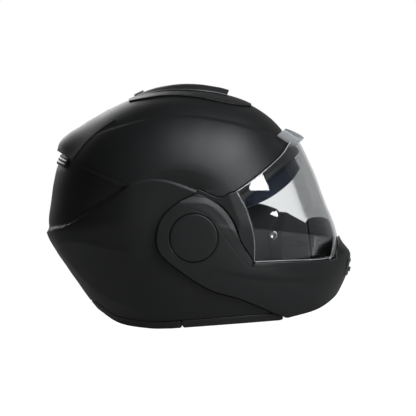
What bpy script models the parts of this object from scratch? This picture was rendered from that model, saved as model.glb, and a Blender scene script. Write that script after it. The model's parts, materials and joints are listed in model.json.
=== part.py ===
"""Flip-up motorcycle helmet: shell, chin bar, clear visor, sun visor, latch, vents, pads and strap.

The helmet stands on its lower rim. +X is the front, +Y the wearer's left, +Z up, and the origin
is under the middle of the whole helmet. Lengths in this file are millimetres; solid() turns them
into metres. Side outlines and radii are drawn for DRAWN_LENGTH and scale with HELMET_LENGTH.
"""

import math

import bmesh
import bpy
import numpy as np

MM = 0.001

# Driving dimensions.
HELMET_LENGTH = 340.4
DRAWN_LENGTH = 340.4
SHELL_HALF_WIDTH = 120.0
SHELL_WALL = 3.5
CHIN_WALL = 3.5
VISOR_WALL = 2.2
SUN_VISOR_WALL = 2.0
RECESS_DEPTH = 6.5
HINGE_PLATE = 1.7
ARM_THICK = 2.5
ARM_HUB = 11.0
HINGE_PIN_RADIUS = 4.5
BUSH_WALL = 3.2
CHIN_OVER_ARM = 3.0
CHIN_OVER_SHELL = 1.6
VISOR_OVER_CHIN = 1.0
COVER_RADIUS = 26.5
COVER_THICK = 2.6
COVER_WEB = 1.6
LINER_GAP = 0.6
CAVITY_HALF_WIDTH = 84.0
LINER_SETBACK = 6.0
PAD_SETBACK = 10.0
PAD_SPLIT_Z = 113.0
CROWN_PAD = 8.0
NECK_ROLL = 13.0
CHEEK_PAD = 20.0
CHEEK_GAP = 1.0
CHEEK_INNER_Y = 44.0
STRAP_WIDTH = 22.0
STRAP_THICK = 2.0
STRAP_ROOM = 5.0
STRAP_FALL = 0.9
SEAL_THICK = 5.0
SEAL_INSET = 1.4
TRIM_HEIGHT = 8.4
TRIM_TUCK = 2.5
TRIM_SEAM_X = -25.0
RELEASE_HALF_WIDTH = 12.0
STRAP_X = 8.0
BUCKLE_Y = 4.0
BUCKLE_Z = 9.0
BUCKLE_LENGTH = 30.0
TONGUE_LENGTH = 26.0
BUCKLE_BORDER = 3.0
TONGUE_HALF_WIDTH = 8.0
LEVER_THICK = 2.5
VENT_HALF_WIDTH = 26.0
VENT_SLOT_HALF_WIDTH = 9.0
VENT_SLIDER_HALF_WIDTH = 8.0
SPOILER_HALF_WIDTH = 62.0
SPOILER_FLARE = 8.0
EXHAUST_HALF_WIDTH = 52.0
EXHAUST_PROUD = 2.2
CHIN_VENT_HALF_WIDTH = 30.0
CHIN_MOUTH_HALF_WIDTH = 19.0
SHUTTER_HALF_WIDTH = 17.0
SCREW_RADIUS = 3.5
SCREW_HEAD = 1.4
SUN_PIN_RADIUS = 4.0
ANTIFOG_RADIUS = 4.7
ANTIFOG_DEPTH = 3.0
STRIKER_PIN_RADIUS = 2.5
LATCH_DEPTH = 3.0
BRIM_OUTER = 169.5
BRIM_INNER = 157.4

# Named clearances.
TOUCH = 0.35
RUN = 0.6
SEAM = 0.5
SWEEP = 2.2

# Section of every skin: (r / R)^ROUND_R + (|y| / W)^ROUND_Y = 1.
ROUND_R = 2.35
ROUND_Y = 2.2
SECTORS = 40
RINGS = 16
STEPS = 3
FAR = 400.0
WELD = 2e-6

# Levels of the side layers, measured from the middle plane.
FLOOR_Y = SHELL_HALF_WIDTH - RECESS_DEPTH
PLATE_Y = FLOOR_Y + TOUCH
ARM_Y = PLATE_Y + HINGE_PLATE + RUN
ARM_TOP_Y = ARM_Y + ARM_THICK
CHIN_HALF_WIDTH = max(ARM_TOP_Y + CHIN_OVER_ARM, SHELL_HALF_WIDTH + CHIN_OVER_SHELL) + CHIN_WALL
VISOR_HALF_WIDTH = CHIN_HALF_WIDTH + VISOR_OVER_CHIN

SIDE = HELMET_LENGTH / DRAWN_LENGTH


def side(points):
    """Side-view points (x, z) at the helmet's real length."""
    return [(x * SIDE, z * SIDE) for x, z in points]


(PIVOT,) = side([(-20.6, 122.2)])
(COVER,) = side([(-4.3, 99.2)])
(HEAD,) = side([(-28.0, 140.0)])
(SUN_PIVOT,) = side([(5.0, 128.0)])
(LATCH,) = side([(72.0, 27.0)])
(RELEASE,) = side([(137.0, 23.0)])
(SLIDER,) = side([(-52.0, 27.0)])
(ANTIFOG,) = side([(84.1, 95.5)])

# Radii about a pivot, as (degrees from +X towards +Z, radius).
SHELL_KEYS = [(-90, 194), (-60, 212), (-47, 214), (-20, 175), (0, 154), (30, 153.2), (42, 154.2),
              (53, 152.4), (69, 147.3), (87, 144.7), (105, 144.6), (123, 146.2), (138, 148.6),
              (152, 150.6), (159, 148.8), (168, 147.2), (180, 149.6), (192, 141.6), (200, 136.6),
              (210, 134.2), (225, 137), (240, 150), (255, 172)]
CHIN_KEYS = [(-90, 194), (-60, 212), (-47, 214), (-38, 207), (-29, 199.5), (-22, 200.5),
             (-16, 198.5), (-12, 186), (-9, 181), (0, 178), (90, 170), (180, 170), (225, 180)]
VISOR_KEYS = [(-60, 184), (-14, 181.6), (-11.4, 181), (-7.9, 177.8), (-3.8, 172.9), (0.8, 167.8),
              (7.3, 163.7), (14, 161.9), (20, 160.9), (26, 161.4), (40, 162), (180, 165)]
SPOILER_KEYS = [(90, 140), (118, 144), (125, 149.5), (132, 151.5), (138, 155.4), (143, 158),
                (147, 155.5), (152, 151), (180, 140)]
VENT_KEYS = [(40, 150), (60, 153), (64, 155.6), (67, 155.2), (71, 154), (76, 153.1), (84, 151.6),
             (92, 149.9), (96, 149.2), (101, 147.8), (107, 145.6), (120, 140)]
CAVITY_KEYS = [(-90, 190), (-30, 165), (0, 150), (28, 108), (42, 97), (90, 93), (135, 98),
               (180, 103), (215, 108), (240, 140)]
SUN_KEYS = [(0, 122), (20, 122.5), (60, 121.5), (180, 122)]
SUN_HALF_WIDTH = 103.0
SWEEP_KEYS = [(0, 157.5)]

# Side outlines. Each inner list is one smooth stroke; strokes meet at corners.
GAP_LINE = [(3.9, 148.1), (-17.0, 140.6), (-37.5, 124.6), (-45.8, 103.7), (-42.7, 84.2),
            (-22.7, 63.4), (9.5, 39.5), (42.6, 26.9), (91.7, 1.7)]
POD_FRONT = [(58.2, 62.0), (58.2, 69.9), (47.3, 91.1), (41.0, 113.1), (27.7, 132.2), (3.9, 148.1)]
RIM_FRONT = [(91.7, 1.7), (126.2, 8.2), (147.4, 19.1), (158.0, 30.0)]
BASE_REAR = [(-37.6, 0.0), (-61.3, 1.7), (-94.7, 9.3), (-120.0, 27.0)]
BROW = [(111.4, 199.7), (99.6, 184.7), (75.5, 166.1), (44.6, 146.3)]
SEAL_LOW = [(124.0, 188.6), (112.7, 178.0), (86.3, 158.5), (57.4, 137.0)]
VISOR_REAR = [(46.9, 147.2), (56.6, 124.4), (62.2, 93.4), (60.8, 67.2)]
ARM_TOP = [(4.6, 152.6), (21.7, 143.4), (30.6, 141.3), (41.0, 145.6)]
SUN_EDGE = [(58.0, 127.7), (84.8, 137.6), (108.6, 153.4), (122.5, 170.0)]
LINER_TOP = [(99.0, 122.0), (116.8, 110.9), (124.3, 105.8)]
DEFLECTOR_TOP = [(125.0, 105.8), (128.0, 110.1), (135.0, 111.8), (145.1, 110.5), (151.5, 106.1),
                 (154.3, 97.9)]
CHEEK_TOP = [(-50, 98), (-10, 106), (34, 110), (61.6, 130.8), (75.2, 131.5), (95.1, 123.8)]
CHEEK_LOW = [(95.1, 123.8), (99, 100), (88, 62), (58, 36), (20, 24), (-46, 24)]
CHIN_RIM = [(150.4, 62.6), (101.8, 62.1), (70.0, 60.0), (60.0, 61.0)]
VISOR_LOW = [(60.8, 67.2), (102.1, 65.7), (135.9, 64.0), (151.6, 65.6)]
BRIM_TOP = [(107.2, 213.8), (115.0, 210.4), (123.7, 205.6), (128.6, 201.8)]
BRIM_LOW = [(124.6, 198.6), (118.0, 202.6), (111.6, 207.4), (106.0, 211.6)]
LINER_REST = [(125.0, 64.0), (140.0, 59.0), (172.0, 58.0), (172.0, 40.0), (150.0, 34.0),
              (112.0, 36.0), (93.0, 40.0), (90.0, 60.0), (92.0, 100.0)]
DEFLECTOR_REST = [(156.5, 82.0), (154.0, 66.0), (142.0, 60.5), (126.5, 65.0)]

# Arcs about the pivot, as radius and two angles, or two angles alone.
BEAK_ARC = (182.4, -18.8, -8.6)
RECESS_ARC = (62.5, 14.0, 148.0)
SPOILER_ARC = (122.0, 148.5)
EXHAUST_ARC = (149.5, 157.0)
TOP_VENT_ARC = (63.6, 108.5)
VENT_SLOT_ARC = (96.0, 106.2)
VENT_SLIDER_ARC = (100.6, 105.6)
BAND = (130.0, 175.0)


def polar(pivot, radius, degrees):
    """The side-view point at a radius and an angle about a pivot."""
    turn = math.radians(degrees)
    return pivot[0] + radius * math.cos(turn), pivot[1] + radius * math.sin(turn)


def arc(pivot, radius, start, end, count):
    """Points of an arc about a pivot, its radius given for the drawn length."""
    return [polar(pivot, radius * SIDE, start + (end - start) * i / count) for i in range(count + 1)]


def smooth(points, steps=STEPS):
    """A Catmull-Rom curve through points, with a few steps between each two."""
    points = np.array(points, float)
    padded = np.vstack([2 * points[0] - points[1], points, 2 * points[-1] - points[-2]])
    curve = []
    for a, b, c, d in zip(padded, padded[1:], padded[2:], padded[3:]):
        for t in np.arange(steps) / steps:
            curve.append(0.5 * (2 * b + (c - a) * t + (2 * a - 5 * b + 4 * c - d) * t**2
                                + (3 * b - a - 3 * c + d) * t**3))
    curve.append(points[-1])
    return [tuple(p) for p in curve]


def outline(*strokes):
    """One closed outline from strokes, without the points that neighbours share."""
    points = []
    for stroke in strokes:
        for point in stroke:
            if not points or math.dist(points[-1], point) > 0.2:
                points.append(point)
    if math.dist(points[0], points[-1]) <= 0.2:
        points.pop()
    return points


def offset(points, distance):
    """Moves a stroke sideways: to the left of its direction where distance is positive."""
    p = np.array(points, float)
    run = np.gradient(p, axis=0)
    run /= np.linalg.norm(run, axis=1)[:, None]
    return [tuple(q) for q in p + distance * np.column_stack([-run[:, 1], run[:, 0]])]


def radius_at(keys, degrees):
    """Smooth periodic radius through the keys (a monotone cubic, so it never overshoots)."""
    angle, value = np.array(keys, float).T
    angle = np.concatenate([angle - 360, angle, angle + 360])
    value = np.tile(value, 3) * SIDE
    slope = np.diff(value) / np.diff(angle)
    same = slope[1:] * slope[:-1] > 0
    mean = 2 * slope[1:] * slope[:-1] / np.where(same, slope[1:] + slope[:-1], 1)
    tangent = np.concatenate([[0], np.where(same, mean, 0), [0]])
    at = (np.asarray(degrees, float) + 90) % 360 - 90
    i = np.searchsorted(angle, at, side="right") - 1
    width = angle[i + 1] - angle[i]
    t = (at - angle[i]) / width
    return (value[i] * (1 + 2 * t) * (1 - t) ** 2 + tangent[i] * width * t * (1 - t) ** 2
            + value[i + 1] * t**2 * (3 - 2 * t) + tangent[i + 1] * width * t**2 * (t - 1))


def skin_y(x, z, keys, half_width, inset=0.0, pivot=PIVOT):
    """Half-width of a skin at a side-view point."""
    dx, dz = x - pivot[0], z - pivot[1]
    share = math.hypot(dx, dz) / (radius_at(keys, math.degrees(math.atan2(dz, dx))) - inset)
    return (half_width - inset) * max(0.0, 1 - share**ROUND_R) ** (1 / ROUND_Y)


# ---------------------------------------------------------------- mesh makers

def solid(name, verts, faces):
    """A mesh object from points in millimetres, with its faces turned outwards."""
    mesh = bpy.data.meshes.new(name)
    mesh.from_pydata([tuple(c * MM for c in v) for v in verts], [], faces)
    work = bmesh.new()
    work.from_mesh(mesh)
    bmesh.ops.recalc_face_normals(work, faces=work.faces)
    work.to_mesh(mesh)
    work.free()
    piece = bpy.data.objects.new(name, mesh)
    bpy.context.scene.collection.objects.link(piece)
    return piece


def skin(name, keys, half_width, inset=0.0, pivot=PIVOT, clamp=None, rings=RINGS, sectors=SECTORS):
    """A closed egg-like body about a side-to-side axis, clamp being its flattest half-width."""
    angles = np.linspace(0, 360, sectors, endpoint=False)
    reach = radius_at(keys, angles) - inset
    verts = []
    for tilt in np.linspace(-90, 90, rings + 1)[1:-1]:
        lean = math.radians(tilt)
        y = math.copysign((half_width - inset) * abs(math.sin(lean)) ** (2 / ROUND_Y), lean)
        if clamp is not None:
            y = max(-clamp, min(clamp, y))
        r = reach * math.cos(lean) ** (2 / ROUND_R)
        turn = np.radians(angles)
        verts += [(pivot[0] + a, y, pivot[1] + b) for a, b in zip(r * np.cos(turn), r * np.sin(turn))]
    rows = rings - 1
    pole = half_width - inset if clamp is None else min(clamp, half_width - inset)
    verts += [(pivot[0], -pole, pivot[1]), (pivot[0], pole, pivot[1])]
    faces = []
    for j in range(rows - 1):
        for i in range(sectors):
            k = (i + 1) % sectors
            faces.append((j * sectors + i, j * sectors + k, (j + 1) * sectors + k, (j + 1) * sectors + i))
    last = (rows - 1) * sectors
    for i in range(sectors):
        k = (i + 1) % sectors
        faces.append((i, len(verts) - 2, k))
        faces.append((last + i, last + k, len(verts) - 1))
    return solid(name, verts, faces)


def prism(name, points, low=-FAR, high=FAR):
    """A side outline carried along Y from low to high."""
    n = len(points)
    verts = [(x, low, z) for x, z in points] + [(x, high, z) for x, z in points]
    faces = [tuple(range(n)), tuple(range(2 * n - 1, n - 1, -1))]
    faces += [(i, (i + 1) % n, n + (i + 1) % n, n + i) for i in range(n)]
    return solid(name, verts, faces)


def block(name, low, high):
    """A box between two corners."""
    (x0, y0, z0), (x1, y1, z1) = low, high
    return prism(name, [(x0, z0), (x1, z0), (x1, z1), (x0, z1)], y0, y1)


def disc(name, centre, radius, low, high, count=32):
    """A cylinder along Y."""
    return prism(name, [polar(centre, radius, 360 * i / count) for i in range(count)], low, high)


def boolean(piece, tool, operation):
    """Applies one exact Boolean and removes the tool."""
    step = piece.modifiers.new(operation.lower(), "BOOLEAN")
    step.operation = operation
    step.solver = "EXACT"
    step.object = tool
    bpy.context.view_layer.update()
    graph = bpy.context.evaluated_depsgraph_get()
    mesh = bpy.data.meshes.new_from_object(piece.evaluated_get(graph))
    piece.modifiers.clear()
    old = piece.data
    work = bmesh.new()
    work.from_mesh(mesh)
    bmesh.ops.remove_doubles(work, verts=work.verts, dist=WELD)
    work.to_mesh(mesh)
    work.free()
    piece.data = mesh
    mesh.name = piece.name
    bpy.data.meshes.remove(old)
    bpy.data.objects.remove(tool)
    return piece


def cut(piece, *tools):
    for tool in tools:
        boolean(piece, tool, "DIFFERENCE")
    return piece


def keep(piece, *tools):
    for tool in tools:
        boolean(piece, tool, "INTERSECT")
    return piece


def join(piece, *tools):
    for tool in tools:
        boolean(piece, tool, "UNION")
    return piece


def sheet(name, points, outer, inner, low=-FAR, high=FAR):
    """The wall between two skins inside a side outline; outer and inner are skin settings."""
    wall = cut(skin(name, **outer), skin("inner", **inner))
    return keep(wall, prism("window", points, low, high))


def both_sides(name, make):
    """A left and a right piece, the right one a mirror of the left."""
    left = make(name + "_left")
    right = left.copy()
    right.data = left.data.copy()
    right.name = name + "_right"
    for vertex in right.data.vertices:
        vertex.co.y = -vertex.co.y
    right.data.flip_normals()
    bpy.context.scene.collection.objects.link(right)
    return [left, right]


# ---------------------------------------------------------------- outlines

FRONT = 230.0 * SIDE
ROOF = 330.0 * SIDE
gap_line = smooth(side(GAP_LINE))
base_rear = smooth(side(BASE_REAR))
rim_front = smooth(side(RIM_FRONT))
(shelf,) = side([(48.0, 76.0)])


def above_base(lift):
    """Everything above the lower rim, lifted by a height, as strokes from rear to front."""
    rear = [(x, z + lift) for x, z in reversed(base_rear)]
    start = [(-FRONT, ROOF), (-FRONT, rear[0][1] + 20), rear[0]]
    middle = rear + [(x, z + lift) for x, z in side([(84.8, 0.0)])]
    front = [(x, z + lift) for x, z in rim_front]
    return outline(start, middle, front, [(FRONT, front[-1][1] + 20), (FRONT, ROOF)])


def front_opening(grow=0.0):
    """The region that the shell leaves open at the front, grown by a distance."""
    lower = offset(gap_line, -grow)
    tail = [p for p in lower if p[0] > 36 * SIDE]
    jaw = [(x - grow, z) for x, z in side([(46.0, 60.0), (38.5, 44.0)])]
    brow = smooth(side(BROW))
    brow = [(x - 0.6 * grow, z + 0.8 * grow) for x, z in brow]
    back = [(shelf[0] - grow, brow[-1][1] - 12), (shelf[0] - grow, shelf[1])]
    return outline([(FRONT, brow[0][1] + 40)], brow, back, jaw, tail,
                   [(tail[-1][0] + 6, tail[-1][1] - 6), (FRONT, tail[-1][1] - 6)])


def recess_outline():
    """The sunken side field under the pod and over the arm's sweep."""
    rear = [p for p in offset(gap_line, -SEAM) if p[0] < 37 * SIDE]
    turn = min(range(len(rear)), key=lambda i: math.dist(rear[i], side([(-36.0, 127.0)])[0]))
    radius, start, end = RECESS_ARC
    top = arc(PIVOT, radius, start, end, 12)
    return outline([(FRONT * 0.4, 30.0 * SIDE)], [(FRONT * 0.4, top[0][1])], top, rear[turn:])


def sector(start, end, count):
    """A slice of the ring round the pivot that the roof's add-on pieces are cut from."""
    inner, outer = BAND
    return outline(arc(PIVOT, outer, start, end, count), arc(PIVOT, inner, end, start, count))


def cheek_outline(grow=0.0):
    """A cheek pad's side outline, grown by a distance."""
    return outline(offset(smooth(side(CHEEK_TOP)) + smooth(side(CHEEK_LOW))[1:], grow))


# ---------------------------------------------------------------- shell

def shell_skin(grow=0.0, **more):
    return dict(keys=SHELL_KEYS, half_width=SHELL_HALF_WIDTH, inset=-grow, **more)


def outer_shell():
    shell = skin("outer_shell", **shell_skin())
    cut(shell, skin("hollow", **shell_skin(-SHELL_WALL, clamp=FLOOR_Y - SHELL_WALL)))
    cut(shell, prism("front", front_opening()))
    keep(shell, prism("base", above_base(TRIM_HEIGHT + TOUCH)))
    for low, high in ((FLOOR_Y, FAR), (-FAR, -FLOOR_Y)):
        cut(shell, prism("recess", recess_outline(), low, high))
    return shell


def trim_wall(name, low_x, high_x):
    """A length of the rubber rim under the shell's lower edge."""
    wall = cut(skin(name, **shell_skin()), skin("hollow", **shell_skin(-SHELL_WALL - TRIM_TUCK)))
    keep(wall, prism("base", above_base(0.0)))
    cut(wall, prism("top", above_base(TRIM_HEIGHT)))
    cut(wall, prism("gap", outline(offset(gap_line, 0.0)[-6:], [(FRONT, -20), (FRONT, 80)])))
    return keep(wall, block("length", (low_x, -FAR, -60), (high_x, FAR, 120)))


def base_trims():
    seam = TRIM_SEAM_X * SIDE
    rear = trim_wall("base_trim_rear", -FRONT, seam - TOUCH / 2)

    def one(name):
        piece = trim_wall(name, seam + TOUCH / 2, FRONT)
        return keep(piece, block("half", (-FRONT, 0, -60), (FRONT, FAR, 120)))

    return [rear] + both_sides("base_trim", one)


def eps_liner():
    depth = SHELL_WALL + LINER_GAP
    liner = skin("eps_liner", **shell_skin(-depth, clamp=FLOOR_Y - depth))
    cut(liner, skin("head", CAVITY_KEYS, CAVITY_HALF_WIDTH, pivot=HEAD))
    cut(liner, prism("front", front_opening(LINER_SETBACK)))
    keep(liner, prism("base", above_base(TRIM_HEIGHT + LINER_SETBACK)))
    pocket = prism("pocket", sun_sweep())
    cut(pocket, skin("core", SUN_KEYS, SUN_HALF_WIDTH, SUN_VISOR_WALL + 2 * RUN, SUN_PIVOT))
    return cut(liner, pocket)


def sun_sweep():
    """The sector that the sun visor passes through, with room round its hub."""
    hub = arc(SUN_PIVOT, 20, 84, 322, 10)
    front = arc(SUN_PIVOT, 150, -30, 76, 6)
    return outline(hub, front)


def crown_pad():
    pad = cut(skin("crown_pad", CAVITY_KEYS, CAVITY_HALF_WIDTH, LINER_GAP, HEAD),
              skin("head", CAVITY_KEYS, CAVITY_HALF_WIDTH, LINER_GAP + CROWN_PAD, HEAD))
    cut(pad, prism("front", front_opening(PAD_SETBACK)))
    for low, high in ((CHEEK_INNER_Y - CHEEK_GAP, FAR), (-FAR, CHEEK_GAP - CHEEK_INNER_Y)):
        cut(pad, prism("cheek", cheek_outline(CHEEK_GAP), low, high))
    return keep(pad, block("top", (-FRONT, -FAR, PAD_SPLIT_Z * SIDE), (FRONT, FAR, ROOF)))


def neck_roll():
    roll = cut(skin("neck_roll", CAVITY_KEYS, CAVITY_HALF_WIDTH, LINER_GAP, HEAD),
               skin("head", CAVITY_KEYS, CAVITY_HALF_WIDTH, LINER_GAP + NECK_ROLL, HEAD))
    return keep(roll, block("rear", (-FRONT, -FAR, 30.0 * SIDE), (-64.0 * SIDE, FAR, 98.0 * SIDE)))


def cheek_pads():
    def one(name):
        pad = cut(skin(name, CAVITY_KEYS, CAVITY_HALF_WIDTH, STRAP_ROOM, HEAD),
                  skin("face", CAVITY_KEYS, CAVITY_HALF_WIDTH, STRAP_ROOM + CHEEK_PAD, HEAD))
        return keep(pad, prism("side", cheek_outline(), CHEEK_INNER_Y, FAR))

    return both_sides("cheek_pad", one)


def eyeport_seal():
    brow = [(x + 0.4, z - 0.6) for x, z in smooth(side(BROW))]
    lower = smooth(side(SEAL_LOW))
    down = [(shelf[0] + SEAM, brow[-1][1] - 10), (shelf[0] + SEAM, shelf[1])]
    up = [(shelf[0] + 7, shelf[1]), (shelf[0] + 7, lower[-1][1] - 10)]
    outer = dict(sweep_skin(), inset=SEAL_INSET, clamp=ARM_Y - RUN)
    inner = dict(sweep_skin(), inset=SEAL_INSET + SEAL_THICK, clamp=ARM_Y - RUN - SEAL_THICK)
    return sheet("eyeport_seal", outline(brow, down, up, lower[::-1]), outer, inner)


def rear_spoiler():
    start, end = SPOILER_ARC
    spoiler = sheet("rear_spoiler", sector(start, end, 8),
                    dict(keys=SPOILER_KEYS, half_width=SHELL_HALF_WIDTH + SPOILER_FLARE),
                    shell_skin(TOUCH))
    return keep(spoiler, block("width", (-FRONT, -SPOILER_HALF_WIDTH, 0), (0, SPOILER_HALF_WIDTH, ROOF)))


def rear_vent():
    start, end = EXHAUST_ARC
    vent = sheet("rear_exhaust", sector(start, end, 4), shell_skin(TOUCH + EXHAUST_PROUD),
                 shell_skin(TOUCH))
    return keep(vent, block("width", (-FRONT, -EXHAUST_HALF_WIDTH, 0), (0, EXHAUST_HALF_WIDTH, ROOF)))


def top_vent():
    start, end = TOP_VENT_ARC
    vent = sheet("top_vent", sector(start, end, 12),
                 dict(keys=VENT_KEYS, half_width=SHELL_HALF_WIDTH + 2),
                 shell_skin(TOUCH), -VENT_HALF_WIDTH, VENT_HALF_WIDTH)
    start, end = VENT_SLOT_ARC
    return cut(vent, prism("slot", sector(start, end, 3), -VENT_SLOT_HALF_WIDTH, VENT_SLOT_HALF_WIDTH))


def top_vent_slider():
    start, end = VENT_SLIDER_ARC
    return sheet("top_vent_slider", sector(start, end, 2),
                 dict(keys=VENT_KEYS, half_width=SHELL_HALF_WIDTH + 2, inset=-2.4),
                 shell_skin(2 * RUN), -VENT_SLIDER_HALF_WIDTH, VENT_SLIDER_HALF_WIDTH)


# ---------------------------------------------------------------- side hinges and strikers

def hinge_plates():
    hub = arc(PIVOT, ARM_HUB, 40, 220, 10)
    foot = arc(COVER, 20, 220, 400, 12)
    return both_sides("hinge_plate", lambda name: prism(
        name, outline(hub, foot), PLATE_Y, PLATE_Y + HINGE_PLATE))


def hinge_pins():
    low = PLATE_Y + HINGE_PLATE + TOUCH
    high = CHIN_HALF_WIDTH - CHIN_WALL - RUN - 1.0
    return both_sides("hinge_pin", lambda name: disc(name, PIVOT, HINGE_PIN_RADIUS, low, high, 20))


def hinge_bushes():
    low = ARM_TOP_Y + RUN
    high = CHIN_HALF_WIDTH - CHIN_WALL - TOUCH - 0.5

    def one(name):
        bush = disc(name, PIVOT, HINGE_PIN_RADIUS + TOUCH + BUSH_WALL, low, high, 24)
        return cut(bush, disc("hole", PIVOT, HINGE_PIN_RADIUS + TOUCH, low - 1, high + 1, 24))

    return both_sides("hinge_bush", one)


def latch_level():
    """Half-width just inside the shell's wall beside the latch."""
    x, z = LATCH
    return skin_y(x, z - 14, SHELL_KEYS, SHELL_HALF_WIDTH, SHELL_WALL) - LATCH_DEPTH


def strikers():
    """A plate on the shell's lower front with a pin that the chin bar's hook takes."""
    x, z = LATCH
    inner = latch_level()
    plate = [(x - 8, 12 * SIDE), (x + 4, 12 * SIDE), (x + 5, z + 5), (x - 5, z + 5)]

    def one(name):
        piece = prism(name, plate, inner - 2.0, inner)
        return join(piece, disc("pin", LATCH, STRIKER_PIN_RADIUS, inner - 9.0, inner - 1.0, 16))

    return both_sides("latch_striker", one)


def latch_hooks():
    x, z = LATCH
    inner = latch_level()
    hook = [(x - 4, z + 4), (x + 4, z + 4), (x + 4, z - 4), (x - 0.6, z - 4), (x - 0.6, z - 7),
            (x + 7.5, z - 7), (x + 9, z + 14), (x + 1, z + 18), (x - 4, z + 14)]
    return both_sides("latch_hook", lambda name: prism(name, hook, inner - 8.0, inner - 3.4))


def plate_screws():
    low = PLATE_Y + HINGE_PLATE + TOUCH
    return both_sides("plate_screw", lambda name: disc(
        name, COVER, SCREW_RADIUS, low, low + SCREW_HEAD, 12))


def release_button():
    x, z = RELEASE
    return block("chin_release_button", (x, -RELEASE_HALF_WIDTH, z), (x + 9, RELEASE_HALF_WIDTH, z + 8))


# ---------------------------------------------------------------- chin strap

def strap_middle(x, z):
    """Half-width midway between the liner's hollow and the cheek pad."""
    return (skin_y(x, z, CAVITY_KEYS, CAVITY_HALF_WIDTH, 0.0, HEAD)
            + skin_y(x, z, CAVITY_KEYS, CAVITY_HALF_WIDTH, STRAP_ROOM, HEAD)) / 2


def strap(name, end):
    """Webbing from behind a cheek pad down under the chin to a half-width end."""
    x0, x1 = STRAP_X - STRAP_WIDTH / 2, STRAP_X + STRAP_WIDTH / 2
    edges = []
    for x in (x0, x1):
        hidden = [(strap_middle(x, z), z) for z in (58, 47, 36, 27)]
        fall = strap_middle(STRAP_X, 27) * STRAP_FALL
        free = [(fall, 15), (0.75 * fall, BUCKLE_Z + 0.5), (end, BUCKLE_Z)]
        path = np.array(smooth(hidden + free, 2), float)
        run = np.gradient(path, axis=0)
        run /= np.linalg.norm(run, axis=1)[:, None]
        edges.append((x, path, np.column_stack([-run[:, 1], run[:, 0]]) * STRAP_THICK / 2))
    verts, count = [], len(edges[0][1])
    for i in range(count):
        for x, path, normal in edges:
            for way in (1, -1):
                y, z = path[i] + way * normal[i]
                verts.append((x, y, z))
    loop = (0, 1, 3, 2)
    faces = [loop, tuple(4 * (count - 1) + k for k in reversed(loop))]
    for i in range(count - 1):
        for a, b in zip(loop, loop[1:] + loop[:1]):
            faces.append((4 * i + a, 4 * i + b, 4 * i + 4 + b, 4 * i + 4 + a))
    return solid(name, verts, faces)


def chin_straps():
    left = strap("chin_strap_left", BUCKLE_Y + BUCKLE_LENGTH + TOUCH)
    right = strap("chin_strap_right", TONGUE_LENGTH + TOUCH)
    for vertex in right.data.vertices:
        vertex.co.y = -vertex.co.y
    right.data.flip_normals()
    return [left, right]


def buckle():
    """The housing on the left strap, the toothed tongue on the right one, and the housing's lever."""
    wide = STRAP_WIDTH / 2 + BUCKLE_BORDER
    housing = block("buckle_housing", (STRAP_X - wide, BUCKLE_Y, BUCKLE_Z - 3),
                    (STRAP_X + wide, BUCKLE_Y + BUCKLE_LENGTH, BUCKLE_Z + 4))
    tongue = block("buckle_tongue", (STRAP_X - TONGUE_HALF_WIDTH, -TONGUE_LENGTH, BUCKLE_Z - 1),
                   (STRAP_X + TONGUE_HALF_WIDTH, BUCKLE_Y - TOUCH, BUCKLE_Z + 1))
    base = BUCKLE_Z + 4 + TOUCH
    lever = block("buckle_lever", (STRAP_X - wide, BUCKLE_Y + 2, base),
                  (STRAP_X + wide, BUCKLE_Y + BUCKLE_LENGTH - 2, base + LEVER_THICK))
    return [housing, tongue, lever]


# ---------------------------------------------------------------- sun visor

def sun_visor():
    hub = arc(SUN_PIVOT, 9, 70, 290, 10)
    edge = smooth(side(SUN_EDGE))
    top = arc(SUN_PIVOT, 140, 24, 60, 5)
    points = outline(hub, edge, top, [polar(SUN_PIVOT, 70 * SIDE, 58)], [polar(SUN_PIVOT, 40 * SIDE, 45)])
    visor = sheet("sun_visor", points, dict(keys=SUN_KEYS, half_width=SUN_HALF_WIDTH, pivot=SUN_PIVOT),
                  dict(keys=SUN_KEYS, half_width=SUN_HALF_WIDTH, inset=SUN_VISOR_WALL, pivot=SUN_PIVOT))
    return cut(visor, disc("hole", SUN_PIVOT, SUN_PIN_RADIUS + TOUCH, -FAR, FAR, 16))


def sun_visor_pins():
    low = SUN_HALF_WIDTH - SUN_VISOR_WALL - RUN
    high = FLOOR_Y - SHELL_WALL - TOUCH
    return both_sides("sun_visor_pin", lambda name: disc(
        name, SUN_PIVOT, SUN_PIN_RADIUS, low, high, 16))


def sun_slider():
    """The sliding knob for the sun visor and its track, on the left side near the lower rim."""
    x, z = SLIDER

    def plate(name, half_length, half_height, low, high):
        points = [(x - half_length, z - half_height), (x + half_length, z - half_height),
                  (x + half_length, z + half_height), (x - half_length, z + half_height)]
        return sheet(name, points, shell_skin(high), shell_skin(low), 0, FAR)

    track = plate("sun_visor_track", 17, 6, TOUCH, TOUCH + 1.5)
    knob = plate("sun_visor_slider", 5, 4, TOUCH + 1.5 + 2 * RUN, TOUCH + 6.5)
    return [track, knob]


# ---------------------------------------------------------------- chin bar

def chin_outline():
    rear = offset(gap_line, SEAM)
    radius, start, end = BEAK_ARC
    beak = arc(PIVOT, radius, end, start, 6)
    rim = smooth(side(CHIN_RIM), 2)
    pod = smooth(side(POD_FRONT))[:-1]
    return outline(rear, rim_front, [(FRONT, 60 * SIDE), (FRONT, 95 * SIDE)], beak, rim, pod)


def chin_bar_shell():
    shell = sheet("chin_bar_shell", chin_outline(),
                  dict(keys=CHIN_KEYS, half_width=CHIN_HALF_WIDTH),
                  dict(keys=CHIN_KEYS, half_width=CHIN_HALF_WIDTH, inset=CHIN_WALL))
    seat = COVER_RADIUS + SEAM
    low = CHIN_HALF_WIDTH - CHIN_WALL + COVER_WEB
    for a, b in ((low, FAR), (-FAR, -low)):
        cut(shell, disc("seat", COVER, seat, a, b, 40))
    return cut(shell, block("vent", (150 * SIDE, -18, 49 * SIDE), (FRONT, 18, 57 * SIDE)))


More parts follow.
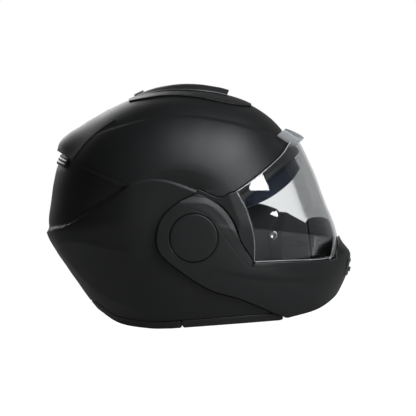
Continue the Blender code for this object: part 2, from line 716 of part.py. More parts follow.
def side_covers():
    low = CHIN_HALF_WIDTH - CHIN_WALL + COVER_WEB + TOUCH

    def one(name):
        cover = disc(name, COVER, COVER_RADIUS, low, low + COVER_THICK, 40)
        edge = cover.modifiers.new("edge", "BEVEL")
        edge.width = 0.6 * MM
        edge.segments = 1
        edge.limit_method = "ANGLE"
        return cover

    return both_sides("side_cover", one)


LINER_INSET = VISOR_WALL + 2.0


def liner_skin(inset=0.0):
    return dict(keys=VISOR_KEYS, half_width=VISOR_HALF_WIDTH, inset=LINER_INSET + inset)


def sweep_skin():
    """The round body that everything moving stays outside of."""
    return dict(keys=SWEEP_KEYS, half_width=SHELL_HALF_WIDTH + SWEEP)


def chin_bar_liner():
    points = outline(smooth(side(LINER_TOP)), side(LINER_REST))
    return sheet("chin_bar_liner", points, liner_skin(), sweep_skin())


def breath_deflector():
    points = outline(smooth(side(DEFLECTOR_TOP)), side(DEFLECTOR_REST))
    return sheet("breath_deflector", points, liner_skin(), liner_skin(3.0))


def chin_vent():
    frame = sheet("chin_vent_frame", outline(side([(150, 44), (FRONT, 44), (FRONT, 62), (150, 62)])),
                  dict(keys=CHIN_KEYS, half_width=CHIN_HALF_WIDTH + 3, inset=-2.6),
                  dict(keys=CHIN_KEYS, half_width=CHIN_HALF_WIDTH, inset=-TOUCH),
                  -CHIN_VENT_HALF_WIDTH, CHIN_VENT_HALF_WIDTH)
    return cut(frame, block("mouth", (140 * SIDE, -CHIN_MOUTH_HALF_WIDTH, 47.5 * SIDE),
                            (FRONT, CHIN_MOUTH_HALF_WIDTH, 58.5 * SIDE)))


def chin_vent_shutter():
    return sheet("chin_vent_shutter", side([(150, 48), (FRONT, 48), (FRONT, 53), (150, 53)]),
                 dict(keys=CHIN_KEYS, half_width=CHIN_HALF_WIDTH, inset=-2.0),
                 dict(keys=CHIN_KEYS, half_width=CHIN_HALF_WIDTH, inset=-0.9),
                 -SHUTTER_HALF_WIDTH, SHUTTER_HALF_WIDTH)


# ---------------------------------------------------------------- visor

def visor_shield():
    brow = [(x + 0.6, z - 0.9) for x, z in smooth(side(BROW)) if x > 49 * SIDE]
    low = smooth(side(VISOR_LOW), 2)
    rise = arc(PIVOT, 190, -18, 24, 3)
    top = side([(128.0, 203.4), (117.0, 206.6)])
    rear = smooth(side(VISOR_REAR))
    shield = sheet("visor_shield", outline(rear, low, rise, top, brow),
                   dict(keys=VISOR_KEYS, half_width=VISOR_HALF_WIDTH),
                   dict(keys=VISOR_KEYS, half_width=VISOR_HALF_WIDTH, inset=VISOR_WALL))
    lip = outline(smooth(side(BRIM_TOP), 2), smooth(side(BRIM_LOW), 2))
    brim = sheet("brim", lip, dict(keys=[(0, BRIM_OUTER)], half_width=VISOR_HALF_WIDTH + 2),
                 dict(keys=[(0, BRIM_INNER)], half_width=VISOR_HALF_WIDTH - VISOR_WALL))
    return join(shield, brim)


def visor_arms():
    hub = arc(PIVOT, ARM_HUB, 62, 335, 12)
    neck = [polar(PIVOT, 43 * SIDE, 21)]
    pod = [p for p in offset(smooth(side(POD_FRONT)), -1.0) if math.dist(p, PIVOT) > 47 * SIDE]
    rear = [(x - 0.4, z) for x, z in smooth(side(VISOR_REAR))]
    top = smooth(side(ARM_TOP))[:-1]
    points = outline(hub, neck, pod[::-1], rear[::-1], top[::-1])
    skin_of_arm = dict(keys=VISOR_KEYS, half_width=VISOR_HALF_WIDTH)
    outer = dict(skin_of_arm, inset=1.0, clamp=ARM_TOP_Y)
    inner = dict(skin_of_arm, inset=1.0 + ARM_THICK, clamp=ARM_Y)

    def one(name):
        arm = sheet(name, points, outer, inner, 0, FAR)
        return cut(arm, disc("hole", PIVOT, HINGE_PIN_RADIUS + TOUCH, 0, FAR, 20))

    return both_sides("visor_arm", one)


def antifog_pins():
    """Round pins just inside the shield, set by the narrowest place under their faces."""
    under = [skin_y(*polar(ANTIFOG, ANTIFOG_RADIUS, turn), VISOR_KEYS, VISOR_HALF_WIDTH, VISOR_WALL)
             for turn in range(0, 360, 30)]
    face = min(under) - 4 * TOUCH
    return both_sides("antifog_pin", lambda name: disc(
        name, ANTIFOG, ANTIFOG_RADIUS, face - ANTIFOG_DEPTH, face, 20))


# ---------------------------------------------------------------- finishes

def finish(piece, colour, roughness, metallic=0.0, transmission=0.0):
    material = bpy.data.materials.new(piece.name)
    material.use_nodes = True
    shader = material.node_tree.nodes["Principled BSDF"]
    shader.inputs["Base Color"].default_value = (*colour, 1)
    shader.inputs["Roughness"].default_value = roughness
    shader.inputs["Metallic"].default_value = metallic
    shader.inputs["Transmission Weight"].default_value = transmission
    piece.data.materials.clear()
    piece.data.materials.append(material)
    piece.data.shade_smooth()
    piece.data.set_sharp_from_angle(angle=math.radians(35))


MATT_BLACK = ((0.012, 0.012, 0.013), 0.5)
BLACK_PLASTIC = ((0.02, 0.02, 0.02), 0.4)
RUBBER = ((0.015, 0.015, 0.015), 0.7)
FOAM = ((0.03, 0.03, 0.03), 0.9)
FABRIC = ((0.05, 0.05, 0.055), 0.95)
STEEL = ((0.6, 0.6, 0.6), 0.3, 1.0)
CLEAR = ((0.95, 0.97, 0.97), 0.03, 0.0, 1.0)
SMOKE = ((0.08, 0.1, 0.14), 0.05, 0.0, 0.6)


def clear_scene():
    for item in list(bpy.data.objects):
        bpy.data.objects.remove(item, do_unlink=True)


def build():
    clear_scene()
    made = [
        ([outer_shell()], MATT_BLACK),
        (base_trims(), RUBBER),
        ([eps_liner()], FOAM),
        ([crown_pad(), neck_roll(), *cheek_pads()], FABRIC),
        ([eyeport_seal()], RUBBER),
        ([rear_spoiler(), rear_vent(), top_vent(), top_vent_slider()], BLACK_PLASTIC),
        (hinge_plates() + hinge_pins() + hinge_bushes() + plate_screws(), STEEL),
        (strikers() + latch_hooks(), STEEL),
        ([release_button(), *sun_slider()], BLACK_PLASTIC),
        (chin_straps(), FABRIC),
        (buckle(), BLACK_PLASTIC),
        ([sun_visor()], SMOKE),
        (sun_visor_pins(), STEEL),
        ([chin_bar_shell(), *side_covers()], MATT_BLACK),
        ([chin_bar_liner()], FOAM),
        ([breath_deflector()], RUBBER),
        ([chin_vent(), chin_vent_shutter()], BLACK_PLASTIC),
        ([visor_shield()], CLEAR),
        (visor_arms(), BLACK_PLASTIC),
        (antifog_pins(), CLEAR),
    ]
    for pieces, look in made:
        for piece in pieces:
            finish(piece, *look)


build()
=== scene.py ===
import json
import math

import bpy
import numpy as np
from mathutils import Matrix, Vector


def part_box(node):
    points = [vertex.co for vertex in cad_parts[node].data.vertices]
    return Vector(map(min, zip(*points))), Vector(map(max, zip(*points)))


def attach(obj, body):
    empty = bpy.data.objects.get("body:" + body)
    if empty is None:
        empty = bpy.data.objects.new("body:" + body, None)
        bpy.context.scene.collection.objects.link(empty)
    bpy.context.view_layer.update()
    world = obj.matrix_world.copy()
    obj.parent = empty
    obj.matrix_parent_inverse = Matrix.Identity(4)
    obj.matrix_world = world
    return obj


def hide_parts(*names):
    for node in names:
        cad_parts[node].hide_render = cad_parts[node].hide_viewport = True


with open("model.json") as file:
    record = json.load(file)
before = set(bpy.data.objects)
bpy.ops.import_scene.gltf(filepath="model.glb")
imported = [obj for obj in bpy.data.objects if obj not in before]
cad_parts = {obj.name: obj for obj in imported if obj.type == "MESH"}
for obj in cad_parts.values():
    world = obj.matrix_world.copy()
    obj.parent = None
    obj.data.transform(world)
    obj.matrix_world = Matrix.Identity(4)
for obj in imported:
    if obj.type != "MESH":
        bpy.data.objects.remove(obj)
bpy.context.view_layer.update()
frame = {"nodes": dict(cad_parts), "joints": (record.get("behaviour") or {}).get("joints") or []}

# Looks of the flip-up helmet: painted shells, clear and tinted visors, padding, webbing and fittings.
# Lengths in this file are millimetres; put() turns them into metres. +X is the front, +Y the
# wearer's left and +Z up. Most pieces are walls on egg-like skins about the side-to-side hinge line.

MM = 0.001
SIDES = (("left", 1), ("right", -1))


# ---------------------------------------------------------------- places from the frame

def low(node):
    """A CAD node's lowest corner in millimetres."""
    return np.array(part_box(node)[0]) / MM


def high(node):
    """A CAD node's highest corner in millimetres."""
    return np.array(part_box(node)[1]) / MM


def middle(node):
    """The middle of a CAD node's box in millimetres."""
    return (low(node) + high(node)) / 2


def hinge(name):
    """A joint's axis in the side view, (x, z) in millimetres."""
    (joint,) = [j for j in frame["joints"] if j["name"] == name]
    return joint["pos_m"][0] / MM, joint["pos_m"][2] / MM


PIVOT = hinge("chin_bar_hinge")
SUN_PIVOT = hinge("sun_visor_tilt")
COVER = tuple(middle("side_cover_left")[[0, 2]])
ANTIFOG = tuple(middle("antifog_pin_left")[[0, 2]])
HEAD = (-28.0, 140.0)

SHELL_HALF_WIDTH = 120.0
SHELL_WALL = 3.5
CHIN_WALL = 3.5
VISOR_WALL = 2.2
SUN_VISOR_WALL = 2.0
CHIN_HALF_WIDTH = 125.15
VISOR_HALF_WIDTH = 126.15
CAVITY_HALF_WIDTH = 84.0
SUN_HALF_WIDTH = 103.0
ARM_Y = 116.15
ARM_THICK = 2.5
ARM_TOP_Y = ARM_Y + ARM_THICK
FLOOR_Y = 113.5
SWEEP_RADIUS = 157.5
TOUCH = 0.35
SEAM = 0.5
TRIM_HEIGHT = 8.4
TRIM_TUCK = 2.5
CAP_GAP = 0.7
LEAST_WALL = 1.5
COVER_RADIUS = 26.5
PANEL_DEPTH = 2.6

# Section of every skin: (r / R)^ROUND_R + (|y| / W)^ROUND_Y = 1.
ROUND_R = 2.35
ROUND_Y = 2.2

# Radii about a pivot, as (degrees from +X towards +Z, radius).
SHELL_KEYS = [(-90, 194), (-60, 212), (-47, 214), (-20, 175), (0, 154), (30, 153.2), (42, 154.2),
              (53, 152.4), (69, 147.3), (87, 144.7), (105, 144.6), (123, 146.2), (138, 148.6),
              (152, 150.6), (159, 148.8), (168, 147.2), (180, 149.6), (192, 141.6), (200, 136.6),
              (210, 134.2), (225, 137), (240, 150), (255, 172)]
CHIN_KEYS = [(-90, 194), (-60, 212), (-47, 214), (-38, 207), (-29, 199.5), (-22, 200.5),
             (-16, 198.5), (-12, 186), (-9, 181), (0, 178), (90, 170), (180, 170), (225, 180)]
VISOR_KEYS = [(-60, 184), (-14, 181.6), (-11.4, 181), (-7.9, 177.8), (-3.8, 172.9), (0.8, 167.8),
              (7.3, 163.7), (14, 161.9), (20, 160.9), (26, 161.4), (40, 162), (180, 165)]
SPOILER_KEYS = [(90, 140), (118, 144), (125, 149.5), (132, 151.5), (138, 155.4), (143, 158),
                (147, 155.5), (152, 151), (180, 140)]
VENT_KEYS = [(40, 150), (60, 153), (64, 155.6), (67, 155.2), (71, 154), (76, 153.1), (84, 151.6),
             (92, 149.9), (96, 149.2), (101, 147.8), (107, 145.6), (120, 140)]
CAVITY_KEYS = [(-90, 190), (-30, 165), (0, 150), (28, 108), (42, 97), (90, 93), (135, 98),
               (180, 103), (215, 108), (240, 140)]
SUN_KEYS = [(0, 122), (20, 122.5), (60, 121.5), (180, 122)]
SWEEP_KEYS = [(0, SWEEP_RADIUS)]

# Side outlines. Each list is one smooth stroke; strokes meet at corners.
GAP_LINE = [(3.9, 148.1), (-17.0, 140.6), (-37.5, 124.6), (-45.8, 103.7), (-42.7, 84.2),
            (-22.7, 63.4), (9.5, 39.5), (42.6, 26.9), (91.7, 1.7)]
POD_FRONT = [(58.2, 62.0), (58.2, 69.9), (47.3, 91.1), (41.0, 113.1), (27.7, 132.2), (3.9, 148.1)]
RIM_FRONT = [(91.7, 1.7), (126.2, 8.2), (147.4, 19.1), (158.0, 30.0)]
BASE_REAR = [(-37.6, 0.0), (-61.3, 1.7), (-94.7, 9.3), (-120.0, 27.0)]
BROW = [(111.4, 199.7), (99.6, 184.7), (75.5, 166.1), (44.6, 146.3)]
SEAL_LOW = [(124.0, 188.6), (112.7, 178.0), (86.3, 158.5), (57.4, 137.0)]
VISOR_REAR = [(46.9, 147.2), (56.6, 124.4), (62.2, 93.4), (60.8, 67.2)]
ARM_UPPER = [(4.6, 152.6), (21.7, 143.4), (30.6, 141.3), (41.0, 145.6)]
SUN_EDGE = [(58.0, 127.7), (84.8, 137.6), (108.6, 153.4), (122.5, 170.0)]
LINER_TOP = [(99.0, 122.0), (116.8, 110.9), (124.3, 105.8)]
DEFLECTOR_TOP = [(125.0, 105.8), (128.0, 110.1), (135.0, 111.8), (145.1, 110.5), (151.5, 106.1),
                 (154.3, 97.9)]
CREST = [(-148.1, 206.4), (-124.7, 216.0), (-101.5, 223.4), (-78.4, 229.6), (-55.4, 234.1),
         (-32.6, 236.4), (-10.0, 235.9), (12.5, 233.1), (34.8, 228.0), (57.0, 221.3),
         (79.0, 212.8), (95.4, 205.4)]
ARROW_TOP = [(-190.0, 229.0), (-150.4, 206.6), (-121.1, 189.1), (-88.4, 171.4), (-73.2, 162.4)]
ARROW_LOW = [(-73.2, 162.4), (-84.0, 154.1), (-101.8, 143.5), (-137.0, 126.3), (-154.4, 120.8),
             (-190.0, 116.5)]
CRESCENT_TOP = [(-68.6, 163.1), (-54.6, 168.9), (-37.1, 175.0), (-14.4, 176.1), (7.9, 171.1),
                (24.3, 163.1), (38.2, 151.8)]
CRESCENT_LOW = [(-67.5, 162.5), (-54.8, 165.5), (-43.4, 166.0), (-32.2, 164.4), (-21.2, 160.8),
                (-10.2, 156.0), (2.9, 149.9)]
FLANK_TOP = [(-162.5, 104.4), (-150.0, 104.0), (-133.0, 104.5), (-110.8, 98.3), (-77.6, 87.9),
             (-49.9, 79.0)]
FLANK_LOW = [(-156.3, 96.0), (-140.7, 76.7), (-125.1, 58.6), (-103.8, 40.0), (-81.9, 29.3),
             (-59.9, 20.9), (-32.1, 13.1)]
CHIN_CREASE = [(0.2, 67.4), (33.5, 57.0), (66.9, 49.4), (111.8, 43.8), (145.7, 42.5), (160.5, 44.2)]
POD_BEVEL = [(-19.0, 139.8), (-13.5, 139.0), (5.4, 137.3), (18.6, 131.8), (29.1, 120.8), (39.2, 104.1),
             (53.3, 80.5), (62.0, 66.0)]
POD_LEDGE = [(-33.0, 126.0), (-24.0, 131.5), (-7.0, 131.8), (8.0, 125.8), (19.6, 114.7), (30.7, 96.9),
             (40.9, 81.4), (51.2, 67.0), (58.7, 61.4), (69.9, 60.0), (84.7, 60.0), (108.0, 62.5)]


# ---------------------------------------------------------------- curves and distances

def smooth(points, steps=8):
    """A Catmull-Rom curve through points, with a few steps between each two."""
    points = np.array(points, float)
    ends = np.vstack([2 * points[0] - points[1], points, 2 * points[-1] - points[-2]])
    t = (np.arange(steps) / steps)[:, None]
    runs = [0.5 * (2 * b + (c - a) * t + (2 * a - 5 * b + 4 * c - d) * t**2
                   + (3 * b - a - 3 * c + d) * t**3)
            for a, b, c, d in zip(ends, ends[1:], ends[2:], ends[3:])]
    return np.vstack(runs + [points[-1:]])


def polar(pivot, radius, degrees):
    """Side-view points at a radius and angles about a pivot."""
    turn = np.radians(degrees)
    return np.stack([pivot[0] + radius * np.cos(turn), pivot[1] + radius * np.sin(turn)], -1)


def arc(pivot, radius, start, end, count=24):
    """Points of an arc about a pivot."""
    return polar(pivot, radius, np.linspace(start, end, count + 1))


def outline(*strokes):
    """One closed outline from strokes, without the points that neighbours share."""
    points = np.vstack([np.array(s, float).reshape(-1, 2) for s in strokes])
    apart = np.linalg.norm(points - np.roll(points, 1, 0), axis=1) > 0.2
    return points[apart]


def offset(points, distance):
    """Moves a stroke sideways: to the left of its direction where distance is positive."""
    run = np.gradient(np.array(points, float), axis=0)
    run /= np.linalg.norm(run, axis=1)[:, None]
    return points + distance * np.column_stack([-run[:, 1], run[:, 0]])


def nearest(points, start, end):
    """Distance to a chain of segments, the nearest segment's number, and the side that a point is on."""
    best = np.full(len(points), np.inf)
    number = np.zeros(len(points), int)
    cross = np.zeros(len(points))
    for i, (a, b) in enumerate(zip(start, end)):
        run = b - a
        gap = points - a
        t = np.clip(gap @ run / max(run @ run, 1e-12), 0, 1)
        far = np.hypot(*(gap - t[:, None] * run).T)
        better = far < best
        best[better] = far[better]
        number[better] = i
        cross[better] = (run[0] * gap[:, 1] - run[1] * gap[:, 0])[better]
    return best, number, cross


def inside(closed):
    """A field that is the distance to a closed side outline, positive inside it."""
    closed = np.array(closed, float)
    after = np.roll(closed, -1, 0)

    def field(p):
        flat = p[:, [0, 2]]
        distance, _, _ = nearest(flat, closed, after)
        odd = np.zeros(len(p), bool)
        for (x0, z0), (x1, z1) in zip(closed, after):
            if z0 != z1:
                spans = (z0 > flat[:, 1]) != (z1 > flat[:, 1])
                odd ^= spans & (flat[:, 0] < (x1 - x0) * (flat[:, 1] - z0) / (z1 - z0) + x0)
        return np.where(odd, distance, -distance)
    return field


def beside(stroke):
    """A field that is the distance to an open stroke, positive on the left of its direction."""
    stroke = np.array(stroke, float)

    def field(p):
        distance, _, cross = nearest(p[:, [0, 2]], stroke[:-1], stroke[1:])
        return np.where(cross >= 0, distance, -distance)
    return field


def ramp(value, start, end):
    """0 before start, 1 after end, and a smooth step between."""
    t = np.clip((value - start) / (end - start), 0, 1)
    return t * t * (3 - 2 * t)


def least(*fields):
    """The field that is inside all the given ones."""
    return lambda p: np.min([f(p) for f in fields], 0)


def without(field):
    """The field turned inside out."""
    return lambda p: -field(p)


def width_within(half):
    """A field positive where |y| is under a half-width."""
    return lambda p: half - np.abs(p[:, 1])


def within(axis, start, end):
    """A field positive between two places along an axis."""
    return lambda p: np.minimum(p[:, axis] - start, end - p[:, axis])


def round_hole(centre, radius):
    """A field positive outside a round hole along Y."""
    return lambda p: np.hypot(p[:, 0] - centre[0], p[:, 2] - centre[1]) - radius


# ---------------------------------------------------------------- skins and walls

def radius_at(keys, degrees):
    """Smooth periodic radius through the keys (a monotone cubic, so it never overshoots)."""
    angle, value = np.array(keys, float).T
    angle = np.concatenate([angle - 360, angle, angle + 360])
    value = np.tile(value, 3)
    slope = np.diff(value) / np.diff(angle)
    same = slope[1:] * slope[:-1] > 0
    mean = 2 * slope[1:] * slope[:-1] / np.where(same, slope[1:] + slope[:-1], 1)
    tangent = np.concatenate([[0], np.where(same, mean, 0), [0]])
    at = (np.asarray(degrees, float) + 90) % 360 - 90
    i = np.searchsorted(angle, at, side="right") - 1
    width = angle[i + 1] - angle[i]
    t = (at - angle[i]) / width
    return (value[i] * (1 + 2 * t) * (1 - t) ** 2 + tangent[i] * width * t * (1 - t) ** 2
            + value[i + 1] * t**2 * (3 - 2 * t) + tangent[i + 1] * width * t**2 * (t - 1))


# The section's own curve, so that rows of a grid stand evenly along it.
_lean = np.linspace(0, math.pi / 2, 2000)
_section = np.column_stack([np.cos(_lean) ** (2 / ROUND_R), 0.8 * np.sin(_lean) ** (2 / ROUND_Y)])
_run = np.concatenate([[0], np.cumsum(np.linalg.norm(np.diff(_section, axis=0), axis=1))])
_run /= _run[-1]


class Skin:
    """An egg-like skin about a side-to-side axis. Its radius follows the angle in the side view, its
    section is (r / R)^2.35 + (|y| / W)^2.2 = 1, and clamp flattens it to a half-width."""

    def __init__(self, keys, half_width, inset=0.0, pivot=PIVOT, clamp=None):
        self.keys, self.half_width, self.inset = keys, half_width - inset, inset
        self.pivot, self.clamp = pivot, clamp

    def radius(self, degrees):
        return radius_at(self.keys, degrees) - self.inset

    def place(self, degrees, share):
        """Points at angles about the axis and shares, -1 at the right pole, 0 on top, 1 at the left."""
        lean = np.interp(np.abs(share), _run, _lean)
        reach = self.radius(degrees) * np.cos(lean) ** (2 / ROUND_R)
        y = np.sign(share) * self.half_width * np.sin(lean) ** (2 / ROUND_Y)
        if self.clamp is not None:
            y = np.clip(y, -self.clamp, self.clamp)
        turn = np.radians(degrees)
        return np.stack([self.pivot[0] + reach * np.cos(turn), y,
                         self.pivot[1] + reach * np.sin(turn)], -1)

    def normal(self, p):
        """Outward unit normals: the gradient of the section's formula."""
        dx, dz = p[:, 0] - self.pivot[0], p[:, 2] - self.pivot[1]
        r = np.maximum(np.hypot(dx, dz), 1e-6)
        degrees = np.degrees(np.arctan2(dz, dx))
        reach = self.radius(degrees)
        change = (self.radius(degrees + 0.5) - self.radius(degrees - 0.5)) / np.radians(1.0)
        share = r / reach
        outer = ROUND_R * share ** (ROUND_R - 1)
        along, across = outer / reach, -outer * change / reach**2
        y_share = np.clip(np.abs(p[:, 1]) / self.half_width, 0, 1)
        sideways = ROUND_Y * y_share ** (ROUND_Y - 1) / self.half_width * np.sign(p[:, 1])
        n = np.column_stack([along * dx / r - across * dz / r, sideways,
                             along * dz / r + across * dx / r])
        if self.clamp is not None:
            flat = np.abs(p[:, 1]) >= self.clamp - 1e-6
            n[flat] = np.sign(p[flat, 1])[:, None] * np.array([0, 1.0, 0])
        return n / np.linalg.norm(n, axis=1)[:, None]

    def y_at(self, x, z):
        """Half-width at a side-view point."""
        dx, dz = x - self.pivot[0], z - self.pivot[1]
        share = math.hypot(dx, dz) / self.radius(math.degrees(math.atan2(dz, dx)))
        y = self.half_width * max(0.0, 1 - share**ROUND_R) ** (1 / ROUND_Y)
        return y if self.clamp is None else min(y, self.clamp)


def put(name, made, body, nodes, finish, **attributes):
    """A piece from points in millimetres, faces and each point's distance from the rim: it rides on a
    body, stands for CAD nodes and has a finish."""
    verts, faces, *rim = made
    if rim:
        attributes["rim"] = rim[0]
    mesh = bpy.data.meshes.new(name)
    mesh.from_pydata((np.asarray(verts, float) * MM).tolist(), [], faces)
    mesh.validate()
    mesh.shade_smooth()
    for key, values in attributes.items():
        made = mesh.attributes.new(key, "FLOAT", "POINT")
        made.data.foreach_set("value", np.asarray(values, np.float32))
    piece = bpy.data.objects.new(name, mesh)
    bpy.context.scene.collection.objects.link(piece)
    mesh.materials.append(finish)
    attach(piece, body)
    if nodes:
        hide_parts(*nodes)
    return piece


def edge_places(skin, degrees, share, field, first, second, values):
    """Where a field crosses zero between pairs of grid points, by false position on the skin."""
    a, b = share[first], share[second]
    u, v = degrees[first], degrees[second]
    u = np.where(np.abs(a) > 0.9999, v, u)
    v = np.where(np.abs(b) > 0.9999, u, v)
    v = u + (v - u + 180) % 360 - 180
    t0, t1 = np.zeros(len(first)), np.ones(len(first))
    f0, f1 = values[first], values[second]
    for _ in range(3):
        t = t0 - f0 * (t1 - t0) / (f1 - f0)
        at = field(skin.place(u + t * (v - u), a + t * (b - a)))
        same = (at > 0) == (f0 > 0)
        t0, f0 = np.where(same, t, t0), np.where(same, at, f0)
        t1, f1 = np.where(same, t1, t), np.where(same, f1, at)
        close = np.abs(f1 - f0) < 1e-9
        f1 = np.where(close, f0 + 1e-9, f1)
    return u + t * (v - u), a + t * (b - a)


def patch(skin, field, turns, shares):
    """The part of a skin where a field is positive, as a triangle mesh on an even grid: triangles that
    cross the zero line are cut there. Returns angles, shares, triangles and the edge's segments."""
    degrees, share = np.meshgrid(turns, shares)
    rows, columns = degrees.shape
    number = np.arange(rows * columns).reshape(rows, columns)
    whole = abs(turns[-1] - turns[0]) > 359.99
    if whole:
        number[:, -1] = number[:, 0]
    for row in (0, rows - 1):
        if abs(share[row, 0]) > 0.9999:
            number[row] = number[row, 0]
    degrees, share = degrees.ravel(), share.ravel()
    values = field(skin.place(degrees, share))
    values = np.where(np.abs(values) < 1e-7, 1e-7, values)
    a, b = number[:-1, :-1].ravel(), number[1:, :-1].ravel()
    c, d = number[1:, 1:].ravel(), number[:-1, 1:].ravel()
    tris = np.vstack([np.column_stack([a, b, c]), np.column_stack([a, c, d])])
    solid = (tris[:, 0] != tris[:, 1]) & (tris[:, 1] != tris[:, 2]) & (tris[:, 0] != tris[:, 2])
    tris = tris[solid]
    kept = values[tris] > 0
    count = kept.sum(1)
    full = tris[count == 3]
    pairs, one, two = [], tris[count == 1], tris[count == 2]
    turn_one = np.argmax(values[one] > 0, 1)
    turn_two = np.argmax(values[two] <= 0, 1)
    one = np.take_along_axis(one, (turn_one[:, None] + np.arange(3)) % 3, 1)
    two = np.take_along_axis(two, (turn_two[:, None] + np.arange(3)) % 3, 1)
    total = len(degrees)
    for t in (one, two):
        for k in (1, 2):
            pairs.append(np.sort(t[:, [0, k]], 1))
    stacked = np.vstack(pairs)
    keys, back = np.unique(stacked[:, 0] * total + stacked[:, 1], return_inverse=True)
    first, second = keys // total, keys % total
    u, v = edge_places(skin, degrees, share, field, first, second, values)
    back = back + total
    n1, n2 = len(one), len(two)
    e1, e2 = back[:n1], back[n1:2 * n1]
    g1, g2 = back[2 * n1:2 * n1 + n2], back[2 * n1 + n2:]
    faces = np.vstack([full, np.column_stack([one[:, 0], e1, e2]),
                       np.column_stack([g1, two[:, 1], two[:, 2]]),
                       np.column_stack([g1, two[:, 2], g2])])
    rim = np.vstack([np.column_stack([e1, e2]), np.column_stack([g2, g1])])
    degrees, share = np.concatenate([degrees, u]), np.concatenate([share, v])
    used, faces = np.unique(faces, return_inverse=True)
    faces = faces.reshape(-1, 3)
    spot = np.full(len(degrees), -1)
    spot[used] = np.arange(len(used))
    return degrees[used], share[used], faces, spot[rim]


def slope_of(field, p, step=0.05):
    """A field's gradient by central differences."""
    return np.column_stack([(field(p + step * axis) - field(p - step * axis)) / (2 * step)
                            for axis in np.eye(3)])


def wall(skin, field, wall_or_skin, turns, shares, edge=0.6, relief=None, back_relief=None):
    """A closed wall on a skin: the outer face is the skin where field > edge, raised by relief along
    the normal; the rim is rounded by the radius edge, and the back is a thickness in, or another skin.
    Returns points, faces and how far each point is from the rim."""
    shrunk = lambda p: field(p) - edge
    degrees, share, faces, rim = patch(skin, shrunk, turns, shares)
    base = skin.place(degrees, share)
    n = skin.normal(base)
    if isinstance(wall_or_skin, Skin):
        back = wall_or_skin.place(degrees, share)
    else:
        back = base - n * wall_or_skin
    if back_relief is not None:
        back = back + n * back_relief(base)[:, None]
    front = base if relief is None else base + n * relief(base)[:, None]
    depth = np.maximum(np.einsum("ij,ij->i", front - back, n), 0.2)
    members = np.unique(rim)
    p, m = base[members], n[members]
    out = -slope_of(field, p)
    out -= m * np.einsum("ij,ij->i", out, m)[:, None]
    out /= np.maximum(np.linalg.norm(out, axis=1), 1e-6)[:, None]
    thick = depth[members]
    e = np.minimum(edge, 0.45 * thick)[:, None]
    wide = np.full_like(e, edge)
    steps = []
    for a in np.radians([30.0, 60.0, 90.0]):
        steps.append(front[members] + out * wide * math.sin(a) - m * e * (1 - math.cos(a)))
    for a in np.radians([90.0, 60.0, 30.0]):
        steps.append(back[members] + out * wide * math.sin(a) + m * e * (1 - math.cos(a)))
    count = len(base)
    row = np.full(count, -1)
    row[members] = np.arange(len(members))
    blocks = [front, *steps, back]
    starts = np.cumsum([0] + [len(s) for s in blocks])
    quads = []
    left, right = rim[:, 1], rim[:, 0]
    previous = (left, right)
    for k in range(len(steps)):
        here = (starts[k + 1] + row[left], starts[k + 1] + row[right])
        quads.append(np.column_stack([previous[0], previous[1], here[1], here[0]]))
        previous = here
    last = (starts[-2] + left, starts[-2] + right)
    quads.append(np.column_stack([previous[0], previous[1], last[1], last[0]]))
    inner = faces[:, ::-1] + starts[-2]
    points = np.vstack(blocks)
    near = field(base)
    ring = np.zeros(len(members))
    rim_distance = np.concatenate([near, *[ring] * len(steps), near])
    every = faces.tolist() + np.vstack(quads).tolist() + inner.tolist()
    return points, every, rim_distance


def rows(count, start=-1.0, end=1.0):
    """Even shares from one side to the other."""
    return np.linspace(start, end, count + 1)


def graded(*stretches):
    """Shares for both sides, from stretches (end share, count) that run from the pole to the top."""
    half, start = [], 1.0
    for end, count in stretches:
        half.append(np.linspace(start, end, count, endpoint=False))
        start = end
    half = np.concatenate(half)
    return np.concatenate([-half, [0.0], half[::-1]])


def merge(*parts):
    """Several point and face lists as one."""
    points, faces, count = [], [], 0
    extra = []
    for p, f, d in parts:
        points.append(p)
        faces += [tuple(i + count for i in face) for face in f]
        extra.append(d)
        count += len(p)
    return np.vstack(points), faces, np.concatenate(extra)


def turned(profile, centre, start, sign, count=64):
    """A body turned about a line along Y: the profile (radius, height) is carried round the centre, and
    heights run outwards from start on one side."""
    profile = np.array(profile, float)
    turn = np.linspace(0, 2 * math.pi, count, endpoint=False)
    r, h = profile[:, :1], profile[:, 1:]
    points = np.stack([centre[0] + r * np.cos(turn), start + sign * h + 0 * turn,
                       centre[1] + r * np.sin(turn)], -1).reshape(-1, 3)
    faces = lattice(len(profile), count, True)
    if sign > 0:
        faces = faces[:, ::-1]
    return welded(points, faces)


def lattice(rows_count, columns, closed_columns, closed_rows=False):
    """Quads of a grid of points."""
    i = np.arange(rows_count if closed_rows else rows_count - 1)
    j = np.arange(columns if closed_columns else columns - 1)
    i, j = np.meshgrid(i, j, indexing="ij")
    up, on = (i + 1) % rows_count, (j + 1) % columns
    corners = [i * columns + j, i * columns + on, up * columns + on, up * columns + j]
    return np.stack(corners, -1).reshape(-1, 4)


